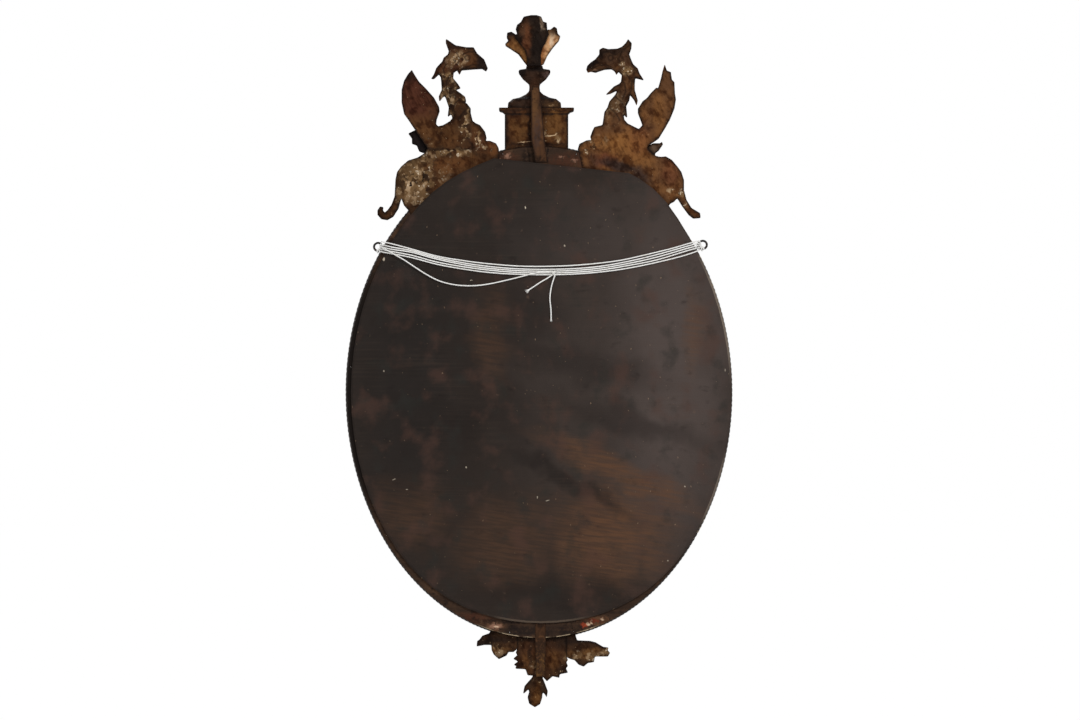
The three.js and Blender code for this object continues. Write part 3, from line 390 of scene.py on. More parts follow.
tail_routes = {
    "cord_tail_short": [
        (-26.4, 9.2, 234.2), (-18, 8.2, 228.5), (-2, 6.5, 219), (10, 5.2, 211), (20, 4.6, 204.6),
    ],
    "cord_tail_long": [
        (-32, 9.2, 234.4), (-28.5, 7.6, 224), (-24.8, 5.4, 211), (-21.8, 4.4, 188.6), (-23.8, 4.2, 164.6),
        (-24.2, 4.2, 145.6),
    ],
}

KNOT_PLACE = (-0.029, 0.0092, 0.2395)
KNOT_SPREAD = (0.00135, 0.0016, 0.0010)
KNOT_STEPS = 90
TIGHT_CORD = 0.0026
knot_turns = []
for t in np.linspace(0, 2 * math.pi, KNOT_STEPS):
    turns = (math.sin(t) + 2 * math.sin(2 * t), math.sin(3 * t), math.cos(t) - 2 * math.cos(2 * t))
    knot_turns.append([
        middle + turn * spread for middle, turn, spread in zip(KNOT_PLACE, turns, KNOT_SPREAD)
    ])
knot = laid_cord("cord_knot_turns", np.array(knot_turns), TIGHT_CORD)
dress(knot, cotton_finish)
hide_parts("cord_knot")
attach(knot, "root")


def cord_piece(node, route):
    line = smooth_route(route, 0.0011)
    cord = laid_cord(node + "_laid", line, CORD_THICKNESS)
    dress(cord, cotton_finish)
    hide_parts(node)
    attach(cord, "root")


def frayed_end(name, tip, heading, reach, spread, count):
    """Loose yarns where a ply cord has come undone at its cut end, each a thin square rod of six rings."""
    chance = np.random.default_rng(7)
    points, faces = [], []
    side = heading.orthogonal().normalized()
    across = heading.cross(side)
    for yarn in range(count):
        angle = 2.4 * yarn
        lean = spread * math.sqrt((yarn + 0.5) / count)
        out = math.cos(angle) * side + math.sin(angle) * across
        length = reach * chance.uniform(0.6, 1.0)
        for k in range(6):
            share = k / 5
            middle = tip + heading * (length * share - 0.0012) + out * (0.0008 + lean * share ** 1.4)
            girth = 0.00045 * (1 - 0.6 * share)
            for corner in range(4):
                turn = math.pi / 2 * corner
                points.append(middle + girth * (math.cos(turn) * side + math.sin(turn) * across))
        base = yarn * 24
        for k in range(5):
            for corner in range(4):
                nxt = (corner + 1) % 4
                faces.append([
                    base + 4 * k + corner, base + 4 * k + nxt, base + 4 * k + 4 + nxt,
                    base + 4 * k + 4 + corner,
                ])
        faces.append([base + c for c in (3, 2, 1, 0)])
        faces.append([base + 20 + c for c in (0, 1, 2, 3)])
    tuft = flat_mesh(name, points, faces)
    dress(tuft, cotton_finish)
    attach(tuft, "root")
    return tuft


for node, route in strand_routes.items():
    cord_piece(node, route)
short_tuft = frayed_end(
    "cord_tail_short_yarns", Vector((0.02, 0.0046, 0.2046)), Vector((0.82, 0.0, -0.57)), 0.010, 0.0042, 16,
)
long_tuft = frayed_end(
    "cord_tail_long_yarns", Vector((-0.0242, 0.0042, 0.1456)), Vector((0, 0, -1)), 0.006, 0.0018, 9,
)
cord_piece("cord_tail_short", tail_routes["cord_tail_short"])
cord_piece("cord_tail_long", tail_routes["cord_tail_long"])

# Screw eyes -----------------------------------------------------------------------------------------
# Two blackened iron screw eyes of 4.4 mm wire stand out of the frame's edge, and the cord is wound round
# the inner half of each of them.
EYE_RADIUS = 0.008
EYE_WIRE = 0.0022
EYE_DEPTH = -0.0133
SHANK_IN_WOOD = 0.024
SHOULDER_WIRE = 0.0011
WOUND_TURNS = 5.5
WOUND_ARC = 160
OVAL_HALF = (0.387, 0.494)


def oval_point(degrees, inset):
    """A point of the oval and the way that its edge faces there, moved inwards by an inset in millimetres."""
    angle = math.radians(degrees)
    facing = Vector((math.cos(angle) / OVAL_HALF[0], 0, math.sin(angle) / OVAL_HALF[1])).normalized()
    edge = Vector((OVAL_HALF[0] * math.cos(angle), 0, OVAL_HALF[1] * math.sin(angle)))
    return edge - facing * inset / 1000, facing


iron = Finish("black_iron", (34, 31, 30), 0.5, metallic=0.6)
iron.coat((70, 46, 33), iron.mottle(3, 0.55, 0.7))
iron.bump(iron.mottle(1.2, 0.3, 0.7), 0.2)
iron_finish = iron.done()


def pick(*pieces):
    """Selects these pieces alone and makes the first one active."""
    bpy.ops.object.select_all(action="DESELECT")
    for piece in pieces:
        piece.select_set(True)
    bpy.context.view_layer.objects.active = pieces[0]


def joined(name, *pieces):
    """One object with its place in its mesh, made of several."""
    pick(*pieces)
    bpy.ops.object.join()
    bpy.ops.object.transform_apply(location=True, rotation=True, scale=True)
    whole = bpy.context.object
    whole.name = name
    return whole


for side, degrees, standoff in [("right", 35.5, 7), ("left", 144.4, 14)]:
    centre, facing = oval_point(degrees, -standoff)
    centre.y = EYE_DEPTH
    bpy.ops.object.select_all(action="DESELECT")
    bpy.ops.mesh.primitive_torus_add(
        major_segments=40, minor_segments=12, location=centre, major_radius=EYE_RADIUS, minor_radius=EYE_WIRE,
        rotation=(math.pi / 2, 0, 0),
    )
    loop = bpy.context.object
    length = standoff / 1000 + SHANK_IN_WOOD - EYE_RADIUS
    along = facing.to_track_quat("Z", "Y").to_euler()
    bpy.ops.mesh.primitive_cylinder_add(vertices=14, radius=EYE_WIRE, depth=length, rotation=along,
                                        location=centre - facing * (EYE_RADIUS + length / 2))
    shank = bpy.context.object
    bpy.ops.mesh.primitive_torus_add(major_segments=20, minor_segments=8, major_radius=EYE_WIRE * 0.9,
                                     minor_radius=SHOULDER_WIRE, rotation=along,
                                     location=centre - facing * (EYE_RADIUS + EYE_WIRE))
    eye = joined(f"screw_eye_{side}_wire", loop, shank, bpy.context.object)
    bpy.ops.object.shade_smooth_by_angle(angle=math.radians(40))
    dress(eye, iron_finish)
    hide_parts(f"screw_eye_{side}")
    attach(eye, "root")

    inwards = math.atan2(-facing.z, -facing.x)
    winding = []
    for share in np.linspace(0, 1, 260):
        around = inwards + math.radians(WOUND_ARC * (share - 0.5))
        turn = 2 * math.pi * WOUND_TURNS * share
        clear = (EYE_WIRE + CORD_THICKNESS / 2) * min(1, 0.3 + 12 * share, 0.3 + 12 * (1 - share))
        reach = EYE_RADIUS + clear * math.cos(turn)
        winding.append([centre.x + reach * math.cos(around), centre.y + clear * math.sin(turn),
                        centre.z + reach * math.sin(around)])
    winding = np.array(winding)
    outwards = np.array([facing.x, facing.z])
    against = (winding[:, [0, 2]] - np.array([centre.x, centre.z])) @ outwards
    pressed = np.minimum(0, against + (standoff + 4) / 1000 - CORD_THICKNESS / 2 - 0.0004)
    winding[:, [0, 2]] -= pressed[:, None] * outwards
    lashing = laid_cord(f"cord_lashing_{side}_turns", winding, CORD_THICKNESS)
    dress(lashing, cotton_finish)
    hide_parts(f"cord_lashing_{side}")
    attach(lashing, "root")

# Backboard ------------------------------------------------------------------------------------------
# A thin pine board, sawn to the oval with its foot and its top cut flatter, chamfered all round and laid
# over the back of the frame. It is stained almost black over an old brown wash, and knocks show the wood.
board = Finish("stained_board", (46, 39, 35), 0.7, specular=0.04)
shaken = board.ragged(70, 46)
# Uneven stain with painted light in it: a painted sheen makes the right, as seen from behind, lighter and
# greyer, and painted shade makes the left darker.
board.coat((82, 72, 68), board.spots(
    shaken, [(-262, 40, 120, 330, 0, 0.9), (-130, 310, 150, 70, 0, 0.5)], 0.8,
))
board.coat((62, 54, 50), board.spots(shaken, [(-60, 20, 110, 260, 0, 0.75)], 0.8))
board.coat((37, 33, 31), board.spots(shaken, [(262, 60, 110, 300, 0, 0.8), (60, 330, 160, 60, 0, 0.5)], 0.8))
swept = board.maths("ADD", 0.5, board.times(0.5, board.mottle(
    6, 0.36, 0.64, stretch=(0.1, 1, 1), detail=6, turn=-0.14,
)))
board.coat((94, 66, 48), swept, board.spots(
    shaken,
    [
        (-142, -290, 105, 88, 0, 0.9), (250, -245, 64, 60, 0, 0.35), (-160, -158, 150, 24, -24, 0.85),
        (95, 110, 30, 80, 0, 0.4), (-314, 122, 20, 62, 0, 0.5), (60, -300, 90, 80, 10, 0.4),
    ],
    0.7,
))
board.coat((34, 29, 27), board.spots(shaken, [
    (30, 150, 70, 60, 20, 0.5), (-70, 60, 160, 34, -12, 0.45), (150, -60, 110, 40, 15, 0.5),
    (-190, -60, 150, 24, -16, 0.5), (-60, -400, 180, 26, 0, 0.5), (-50, -172, 130, 15, -30, 0.7),
    (60, -40, 60, 90, 30, 0.35),
], 0.7))
board.coat((78, 56, 48), board.mottle(62, 0.5, 0.72, detail=4), 0.5)
board.coat((42, 42, 39), board.mottle(48, 0.52, 0.74, detail=4), 0.55)
board.coat((28, 23, 22), board.mottle(21, 0.58, 0.8, stretch=(0.6, 1, 1), detail=6), 0.45)
board.coat((104, 84, 70), board.mottle(15, 0.66, 0.8, detail=6), 0.4)
saw = board.mottle(4.6, 0.4, 0.75, stretch=(0.03, 1, 1), detail=5)
board.coat((70, 58, 50), saw, board.mottle(110, 0.4, 0.7), 0.22)
board.coat((168, 140, 112), board.mottle(5, 0.72, 0.75, stretch=(1, 1, 0.6), detail=2), 0.35)
board.coat((214, 200, 178), board.spots(
    board.ragged(3, 1.6),
    [
        (27.2, 368.6, 0.9, 2.8, 0, 0.9), (-50.8, 292.6, 1.1, 1.8, 20, 0.6), (135.2, 223.6, 2.4, 0.8, 10, 0.5),
        (309.2, 265.6, 1.8, 3.4, -14, 0.8), (309.2, 42.6, 1, 1.6, 0, 0.5), (145.2, -149.4, 1.2, 1.8, 30, 0.5),
        (289.2, -173.4, 3, 0.9, 20, 0.4), (263.2, -193.4, 2, 0.9, 0, 0.5), (3.2, -209.4, 1.1, 2.4, 0, 0.5),
        (-16.8, -215.4, 3.6, 0.9, 15, 0.5), (-290.8, -187.4, 1.2, 1.4, 0, 0.5),
        (-256.8, -335.4, 1.6, 1.2, 0, 0.4), (-370.8, 44.6, 0.9, 2.4, 0, 0.5),
    ],
    0.5,
))
# Painted highlight on the chamfer: lighter where it faces right, as seen from behind, and where it faces down
# at the foot.
facing = board.places.outputs["Normal"]
board.coat(
    (128, 116, 104), board.between(board.axis(facing, 0), -0.3, -0.6),
    board.spots(board.ragged(20, 20), [(-350, 150, 60, 110, 0, 0.8), (-340, -190, 60, 60, 0, 0.6)]),
)
board.coat(
    (98, 84, 72), board.between(board.axis(facing, 2), -0.3, -0.6),
    board.spots(board.ragged(20, 20), [(0, -460, 90, 30, 0, 0.8)]),
)
board.roughness(0.55, 0.75, board.mottle(40))
board.bump(saw, 0.12)
board.bump(board.mottle(2.5, 0.3, 0.7), 0.1)
dress(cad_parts["backboard"], board.done())

# Frame ring -----------------------------------------------------------------------------------------
# Ten felloes of old pine butted end to end, brown with size and handling. Two battens are let into
# notches at the top and the foot, and glued blocks hold the glass in the rebate.


def old_pine(name, base, dark, light, upright, patches=()):
    """Pine gone brown, its grain upright or level, with patches of other colours given by their place."""
    wood = Finish(name, base, 0.78, specular=0.04)
    wood.coat(light, wood.mottle(34, 0.48, 0.75, detail=5))
    wood.coat(dark, wood.mottle(16, 0.5, 0.7, detail=6))
    grain = wood.mottle(4.4, 0.4, 0.7, stretch=(1, 1, 0.07) if upright else (0.07, 1, 1), detail=4)
    wood.coat(light, grain, 0.35)
    shaken = wood.ragged(7, 7)
    broken = wood.mottle(7, 0.34, 0.52, detail=6)
    for colour, places in patches:
        wood.coat(colour, wood.spots(shaken, places, 0.5), broken)
    wood.coat(tuple(int(c * 0.35) for c in base), wood.mottle(5, 0.68, 0.72, detail=5), 0.8)
    wood.bump(grain, 0.4)
    return wood


RIM_LOSS = 0.0004


def vertex_arrays(piece):
    """The places and the normals of a piece's vertices."""
    places = np.empty(len(piece.data.vertices) * 3)
    facing = np.empty(len(piece.data.vertices) * 3)
    piece.data.vertices.foreach_get("co", places)
    piece.data.vertices.foreach_get("normal", facing)
    return places.reshape(-1, 3), facing.reshape(-1, 3)


def move_vertices(piece, places):
    piece.data.vertices.foreach_set("co", places.ravel())
    piece.data.update()


def vertex_values(piece, name):
    """What each vertex of a piece holds under a name."""
    values = np.empty(len(piece.data.vertices), np.float32)
    piece.data.attributes[name].data.foreach_get("value", values)
    return values


def carved_copy(node, voxel=1.25, evened=14, rounded=2):
    """A copy of a solid, its skin evened out in depth alone so that its sawn outline stays."""
    piece = bpy.data.objects.new(node + "_carving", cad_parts[node].data.copy())
    bpy.context.scene.collection.objects.link(piece)
    pick(piece)
    bpy.ops.object.mode_set(mode="EDIT")
    bpy.ops.mesh.select_all(action="SELECT")
    bpy.ops.mesh.remove_doubles(threshold=0.00001)
    bpy.ops.object.mode_set(mode="OBJECT")
    wanted = vertex_arrays(piece)[0]
    remesh = piece.modifiers.new("even", "REMESH")
    remesh.mode = "VOXEL"
    remesh.voxel_size = voxel / 1000
    depth = piece.modifiers.new("depth", "SMOOTH")
    depth.use_x = depth.use_z = False
    depth.iterations = evened
    edges = piece.modifiers.new("edges", "SMOOTH")
    edges.iterations = rounded
    for modifier in ("even", "depth", "edges"):
        bpy.ops.object.modifier_apply(modifier=modifier)
    places = vertex_arrays(piece)[0]
    share = (places - places.min(axis=0)) / np.ptp(places, axis=0)
    move_vertices(piece, wanted.min(axis=0) + share * np.ptp(wanted, axis=0))
    places, facing = vertex_arrays(piece)
    move_vertices(piece, places + facing * (RIM_LOSS, 0, RIM_LOSS))
    piece.data.polygons.foreach_set("use_smooth", [True] * len(piece.data.polygons))
    hollow = piece.data.attributes.new("hollow", "FLOAT", "POINT")
    hollow.data.foreach_set("value", [0.0] * len(piece.data.vertices))
    piece.data.update()
    return piece


def near(points):
    tree = KDTree(len(points))
    for i, (x, z) in enumerate(points):
        tree.insert((x, z, 0), i)
    tree.balance()
    return tree


def mark_rims(pieces, reach):
    """How near each point lies to the pieces' common outline, 1 at it and 0 from reach millimetres on."""
    edges = []
    for piece in pieces:
        places, facing = vertex_arrays(piece)
        side = (np.abs(facing[:, 1]) < 0.5) & (places[:, 1] > places[:, 1].max() - 0.008)
        edges.append(np.unique(np.round(places[side][:, [0, 2]] * 1000), axis=0))
    outer = []
    for i, edge in enumerate(edges):
        rest = [other for j, other in enumerate(edges) if j != i]
        joints = near(np.concatenate(rest)) if rest else None
        outer += [p for p in edge if not rest or joints.find((p[0], p[1], 0))[2] > 2.2]
    outline = near(outer)
    for piece in pieces:
        flat = vertex_arrays(piece)[0][:, [0, 2]] * 1000
        rim = [max(0.0, 1 - outline.find((x, z, 0))[2] / reach) for x, z in flat]
        piece.data.attributes.new("rim", "FLOAT", "POINT").data.foreach_set("value", rim)


ring_wood = old_pine(
    "ring_pine", (52, 39, 31), (33, 25, 22), (78, 57, 42), False,
    [
        ((74, 44, 32), [(140, -452, 46, 12, 0, 0.7), (72, 468, 30, 12, 0, 0.6), (-64, 462, 50, 14, 0, 0.6)]),
        ((104, 72, 50), [(-116, -456, 34, 9, 0, 0.8), (88, -468, 20, 9, 0, 0.6), (-64, -470, 14, 5, 0, 0.3)]),
        # Painted shadow on the foot of the ring, below the board's lower edge.
        ((32, 26, 24), [
            (20, -476, 50, 10, 0, 0.75), (-60, -474, 24, 10, 0, 0.75), (-84, -466, 6, 10, 0, 0.7),
        ]),
        ((150, 112, 92), [
            (62, 471, 7, 4, 0, 0.8), (80, 462, 5, 4, 0, 0.6), (-44, 470, 5, 3, 0, 0.6),
            (-70, 463, 6, 3, 0, 0.6), (88, -467, 13, 6, 0, 0.75),
        ]),
        ((160, 66, 40), [(-90, -464, 6, 5, 0, 0.8), (-112, -456, 12, 3, 0, 0.6)]),
        ((222, 190, 160), [
            (86, -468, 5, 2, 0, 0.7), (-98, -462, 4, 4, 20, 0.8), (-104, -459, 2, 4, 0, 0.9),
            (-126, -452, 3, 2, 0, 0.7),
        ]),
        # Nail holes, and painted shadow: a line under the board's lower edge and dark marks at the top beside
        # the batten and the griffin.
        ((24, 18, 16), [
            (0, -456, 150, 5, 0, 0.7), (318, -256, 2.4, 3, 0, 0.9), (309, -272, 2, 3, 0, 0.9),
            (-17, 472, 2, 18, 0, 0.9), (76, 478, 3, 12, 0, 0.7), (27, 470, 8, 14, 0, 0.7),
        ]),
    ],
)
# Painted shade along the ring's outer left and right sides.
ring_wood.coat((25, 21, 19), ring_wood.spots(
    ring_wood.place, [(385, 40, 60, 460, 0, 0.96), (-385, 60, 60, 360, 0, 0.9)], 0.4,
))
ovalness = ring_wood.away(ring_wood.stretched((1 / 0.383, 0, 1 / 0.490), ring_wood.ragged(6, 1.2)))
underside = ring_wood.spots(ring_wood.place, [(10, -490, 120, 40, 0, 0.9), (-96, -480, 26, 20, 0, 0.9)], 0.4)
streaky = ring_wood.times(underside, ring_wood.mottle(16, 0.4, 0.55, detail=5))
ring_wood.coat((178, 158, 130), ring_wood.between(ovalness, 0.9945, 0.998), streaky)
ring_finish = ring_wood.done()
for name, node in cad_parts.items():
    if name.startswith(("frame_felloe", "glazing_block")):
        dress(node, ring_finish)

batten_wood = old_pine("batten_pine", (70, 47, 32), (42, 30, 23), (100, 68, 44), True, [
    ((98, 68, 42), [(9, 570, 6, 44, 2, 0.7)]),
    ((62, 49, 46), [(4, 520, 7, 34, 0, 0.6)]), ((48, 33, 24), [(0, -524, 40, 46, 0, 1.0)]),
    ((106, 74, 42), [(8, -560, 6, 16, 0, 0.6), (-6, -540, 4, 14, 0, 0.4)]),
    # Painted shade on the batten where the board's edges stand over it.
    ((24, 18, 16), [(-2, 462, 14, 8, 0, 0.7), (-3, -462, 12, 8, 0, 0.6)]),
])
batten_wood.coat(
    (112, 78, 44), batten_wood.mottle(7, 0.5, 0.62, detail=5),
    batten_wood.spots(batten_wood.place, [(0, -545, 40, 34, 0, 0.5)], 0.5),
)
# Painted shade: the batten darkens towards its outline, more on the upper batten.
height = batten_wood.axis(batten_wood.place, 2)
rim_shade = batten_wood.maths("ADD", batten_wood.times(batten_wood.between(height, 0.3, 0.5), 0.45), 0.35)
batten_wood.coat((28, 21, 18), batten_wood.between(batten_wood.held("rim"), 0.15, 0.9), rim_shade)
batten_finish = batten_wood.done()
for node in ("crest_batten", "pendant_batten"):
    batten = carved_copy(node, 1.0, 0)
    mark_rims([batten], 5)
    dress(batten, batten_finish)
    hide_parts(node)
    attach(batten, "root")

# Gilded mouldings -----------------------------------------------------------------------------------
# The raised moulding in front of the frame and the roped edge round it are gilded over red bole, and the gold
# is worn through in patches.
# The slip inside it is black, reeded along its length.
def worn_gold(name, roughness, metallic):
    """Gold leaf gone dull, with the red bole showing through."""
    leaf = Finish(name, (150, 112, 56), roughness, metallic)
    leaf.coat((96, 48, 30), leaf.mottle(22, 0.52, 0.72, detail=6))
    return leaf


gold = worn_gold("worn_gilding", 0.42, 0.55)
gold.coat((206, 190, 160), gold.mottle(14, 0.64, 0.74, detail=6))
gold.coat((70, 50, 32), gold.mottle(9, 0.58, 0.75, detail=4))
gold.bump(gold.mottle(4, 0.3, 0.7), 0.3)
gilding = gold.done()
rope_gold = worn_gold("rope_gilding", 0.45, 0.4)
behind = rope_gold.between(rope_gold.axis(rope_gold.place, 1), -0.0405, -0.0375)
rope_gold.coat((38, 29, 24), behind)
rope_gold.coat(
    (206, 190, 164), rope_gold.mottle(7, 0.5, 0.6, detail=5),
    rope_gold.spots(
        rope_gold.place,
        [(-316, 290, 16, 34, 30, 0.8), (-352, 200, 8, 30, 12, 0.6), (-316, -270, 14, 22, -30, 0.9)], 0.3,
    ),
)
rope_gold.put(
    rope_gold.times(rope_gold.maths("SUBTRACT", 1.0, behind), 0.4), rope_gold.shader.inputs["Metallic"],
)
rope_finish = rope_gold.done()


def oval_ring(name, profile, steps):
    """A profile of [inset, depth] points in millimetres carried round the oval."""
    points = []
    for i in range(steps):
        for inset, depth in profile:
            place, _ = oval_point(360 * i / steps, inset)
            points.append((place.x, depth / 1000, place.z))
    ring = flat_mesh(name, points, tube_faces(steps, len(profile), closed=True))
    pick(ring)
    bpy.ops.object.mode_set(mode="EDIT")
    bpy.ops.mesh.select_all(action="SELECT")
    bpy.ops.mesh.normals_make_consistent(inside=False)
    bpy.ops.object.mode_set(mode="OBJECT")
    bpy.ops.object.shade_smooth_by_angle(angle=math.radians(50))
    return ring


def curve_profile(points, each):
    """More points, one about every so many metres, on a smooth line through the points of a profile."""
    line = smooth_route([(x * 1000, y * 1000, 0) for x, y in points], each)
    return [(x, y) for x, y, _ in line]


moulding_face = curve_profile(
    [
        (9.3, -43.3), (10.6, -45.8), (14.5, -51.8), (20.6, -57.3), (28.6, -58.1), (35.2, -53.3), (39, -45.8),
        (48.4, -44.3), (55.7, -40.3),
    ],
    1.6,
)
moulding = oval_ring(
    "front_moulding_gilt", [(8.9, -33.4), (8.9, -42.8)] + moulding_face + [(55.9, -39.8), (55.9, -33.4)], 220,
)
dress(moulding, gilding)
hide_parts("front_moulding")
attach(moulding, "root")

ROPE_TURNS = 100
ROPE_STEPS = ROPE_TURNS * 3 * 7
ROPE_SIDES = 12
ROPE_RADIUS = 0.0041
ROPE_DEPTH = -0.0377
rope_points = []
for i in range(ROPE_STEPS):
    middle, facing = oval_point(360 * i / ROPE_STEPS, ROPE_RADIUS * 1000)
    twist = 2 * math.pi * ROPE_TURNS * i / ROPE_STEPS
    for k in range(ROPE_SIDES):
        around = 2 * math.pi * k / ROPE_SIDES
        reach = ROPE_RADIUS * (0.5 + 0.5 * ply_bulge(around, 0.5))
        behind = Vector((0, ROPE_DEPTH + reach * math.sin(around + twist), 0))
        rope_points.append(middle + reach * math.cos(around + twist) * facing + behind)
rope = flat_mesh("roped_edge_gilt", rope_points, tube_faces(ROPE_STEPS, ROPE_SIDES, closed=True))
rope.data.polygons.foreach_set("use_smooth", [True] * len(rope.data.polygons))
dress(rope, rope_finish)
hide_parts("roped_edge")
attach(rope, "root")

ebony = Finish("ebonised_wood", (26, 22, 20), 0.32, specular=0.5)
ebony.coat((62, 44, 32), ebony.mottle(16, 0.62, 0.75, detail=5))
ebony.bump(ebony.mottle(3, 0.3, 0.7), 0.12)
reeds = [(56.4, -21.1), (56.4, -36.6)]
for reed, drop in enumerate([0, 1.4, 3.2, 5.6]):
    reeds += [(58.3 + 2.6 * reed - 1.25 * math.cos(a), -37.6 + drop - 1.9 * math.sin(a))
              for a in np.linspace(0.2, 2.9, 6)]
slip = oval_ring("ebonised_slip_reeded", reeds + [(68.2, -30.6), (68.2, -21.1)], 200)
dress(slip, ebony.done())
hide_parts("ebonised_slip")
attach(slip, "root")

# Mirror plate ---------------------------------------------------------------------------------------
# A flat oval plate of old silvered glass, held in the rebate of the frame by the glazing blocks. Its
# silvering has gone grey and spotted towards the edge.
glass = Finish("silvered_glass", (222, 225, 224), 0.04, metallic=1.0)
rim = glass.between(glass.away(glass.stretched((1 / 0.319, 0, 1 / 0.426))), 0.8, 1.02)
glass.coat((150, 146, 138), rim, glass.mottle(30, 0.3, 0.7, detail=6))
foxing = glass.times(glass.mottle(7, 0.62, 0.7, detail=5), glass.maths("ADD", rim, 0.15))
glass.coat((64, 54, 44), foxing)
glass.roughness(0.03, 0.35, foxing)
dress(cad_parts["mirror_plate"], glass.done())

# Griffins -------------------------------------------------------------------------------------------
# Each griffin is sawn from pine boards glued edge to edge, carved on its front, rounded over on its back
# and let into the back of the frame. Its bole and gesso are worn down to wood with pale flecks.


def cut(piece, lines, side, width, depth):
    """Gouges lines of [x, z] points in millimetres into the front (-1) or the back (1) of a piece."""
    places, facing = vertex_arrays(piece)
    outwards = np.clip(facing[:, 1] * side * 1.6, 0, 1)
    flat = places[:, [0, 2]] * 1000
    nearest = np.full(len(flat), 1e9)
    for line in lines:
        for (ax, az), (bx, bz) in zip(line, line[1:]):
            run = np.array([bx - ax, bz - az], float)
            share = np.clip(((flat - [ax, az]) @ run) / (run @ run), 0, 1)
            away = np.linalg.norm(flat - [ax, az] - share[:, None] * run, axis=1)
            nearest = np.minimum(nearest, away)
    groove = np.exp(-((nearest / width) ** 2)) * outwards
    places[:, 1] -= side * depth / 1000 * groove
    hollow = np.maximum(vertex_values(piece, "hollow"), groove).astype(np.float32)
    piece.data.attributes["hollow"].data.foreach_set("value", hollow)
    move_vertices(piece, places)


def worn_carving(name, golden, brown, coats=(), gesso=(), fleck=0.5):
    """Old bole and gesso over pine, worn to the wood. What is left of its gilding is on the front."""
    worn = Finish(name, golden, 0.7, specular=0.04)
    shaken = worn.ragged(16, 10)
    worn.coat(brown, worn.mottle(30, 0.36, 0.66, detail=6))
    strokes = worn.mottle(5, 0.45, 0.7, stretch=(1, 1, 0.25), detail=5, turn=0.5)
    worn.coat(tuple(min(255, int(c * 1.35)) for c in golden), strokes, 0.3)
    # Painted shade: darker towards each piece's outline, where its rounded edges turn from the light, broken
    # up by noise.
    edge_shade = worn.maths("ADD", worn.held("rim"), worn.times(worn.mottle(9, 0.2, 0.8, detail=5), 0.4))
    worn.coat(tuple(int(c * 0.62) for c in brown), worn.between(edge_shade, 0.1, 1.0), 0.7)
    for colour, places in coats:
        worn.coat(colour, worn.spots(shaken, places, 0.6))
    worn.coat((170, 160, 154), strokes, 0.8, blend="MULTIPLY")
    worn.coat((176, 160, 150), worn.mottle(13, 0.45, 0.68, detail=6), blend="MULTIPLY")
    deep = tuple(int(c * 0.42) for c in brown)
    worn.coat(deep, worn.mottle(10, 0.55, 0.78, detail=6), 0.45)
    crumbs = worn.mottle(5.5, 0.5, 0.58, detail=8, rough=0.62)
    if gesso:
        left = worn.spots(shaken, gesso, 0.7)
        film = worn.times(left, worn.mottle(19, 0.47, 0.53, detail=4))
        worn.coat((44, 30, 20), left, worn.mottle(24, 0.5, 0.6, detail=4))
        worn.coat((122, 94, 63), film)
        worn.coat((170, 142, 110), film, worn.mottle(11, 0.52, 0.58, detail=3))
        worn.coat((226, 208, 182), film, worn.mottle(5, 0.62, 0.65, detail=4))
        worn.coat(deep, left, worn.mottle(9, 0.58, 0.62, detail=4))
    worn.coat((196, 168, 130), worn.mottle(4, 0.7, 0.73, detail=6), fleck)
    # Painted shade: a near-black line along the outline.
    worn.coat((27, 19, 16), worn.between(edge_shade, 0.75, 1.2), 0.95)
    # Painted shade in the gouged grooves.
    hollow = worn.held("hollow")
    worn.coat((30, 20, 15), hollow, 0.7)
    forward = worn.between(worn.axis(worn.places.outputs["Normal"], 1), -0.1, -0.5)
    front = worn.times(worn.between(worn.axis(worn.place, 1), -0.027, -0.035), forward)
    worn.coat((98, 52, 33), front, 0.75)
    gilt = worn.times(front, worn.mottle(16, 0.66, 0.54, detail=6))
    worn.coat((152, 112, 56), gilt)
    # Painted shade in the gouged grooves of the gilded front.
    worn.coat((70, 40, 26), front, hollow, 0.7)
    worn.put(worn.times(gilt, 0.55), worn.shader.inputs["Metallic"])
    worn.roughness(0.7, 0.42, gilt)
    worn.bump(strokes, 0.4)
    worn.bump(worn.mottle(3, 0.3, 0.7, detail=5), 0.35)
    worn.bump(crumbs, 0.3)
    return worn.done()


def placed(lines, x, z, mirrored):
    return [[(mirrored * px + x, pz + z) for px, pz in line] for line in lines]


def ringed(x, z, radius):
    return [(x + radius * math.cos(a), z + radius * math.sin(a)) for a in np.linspace(0, 2 * math.pi, 17)]


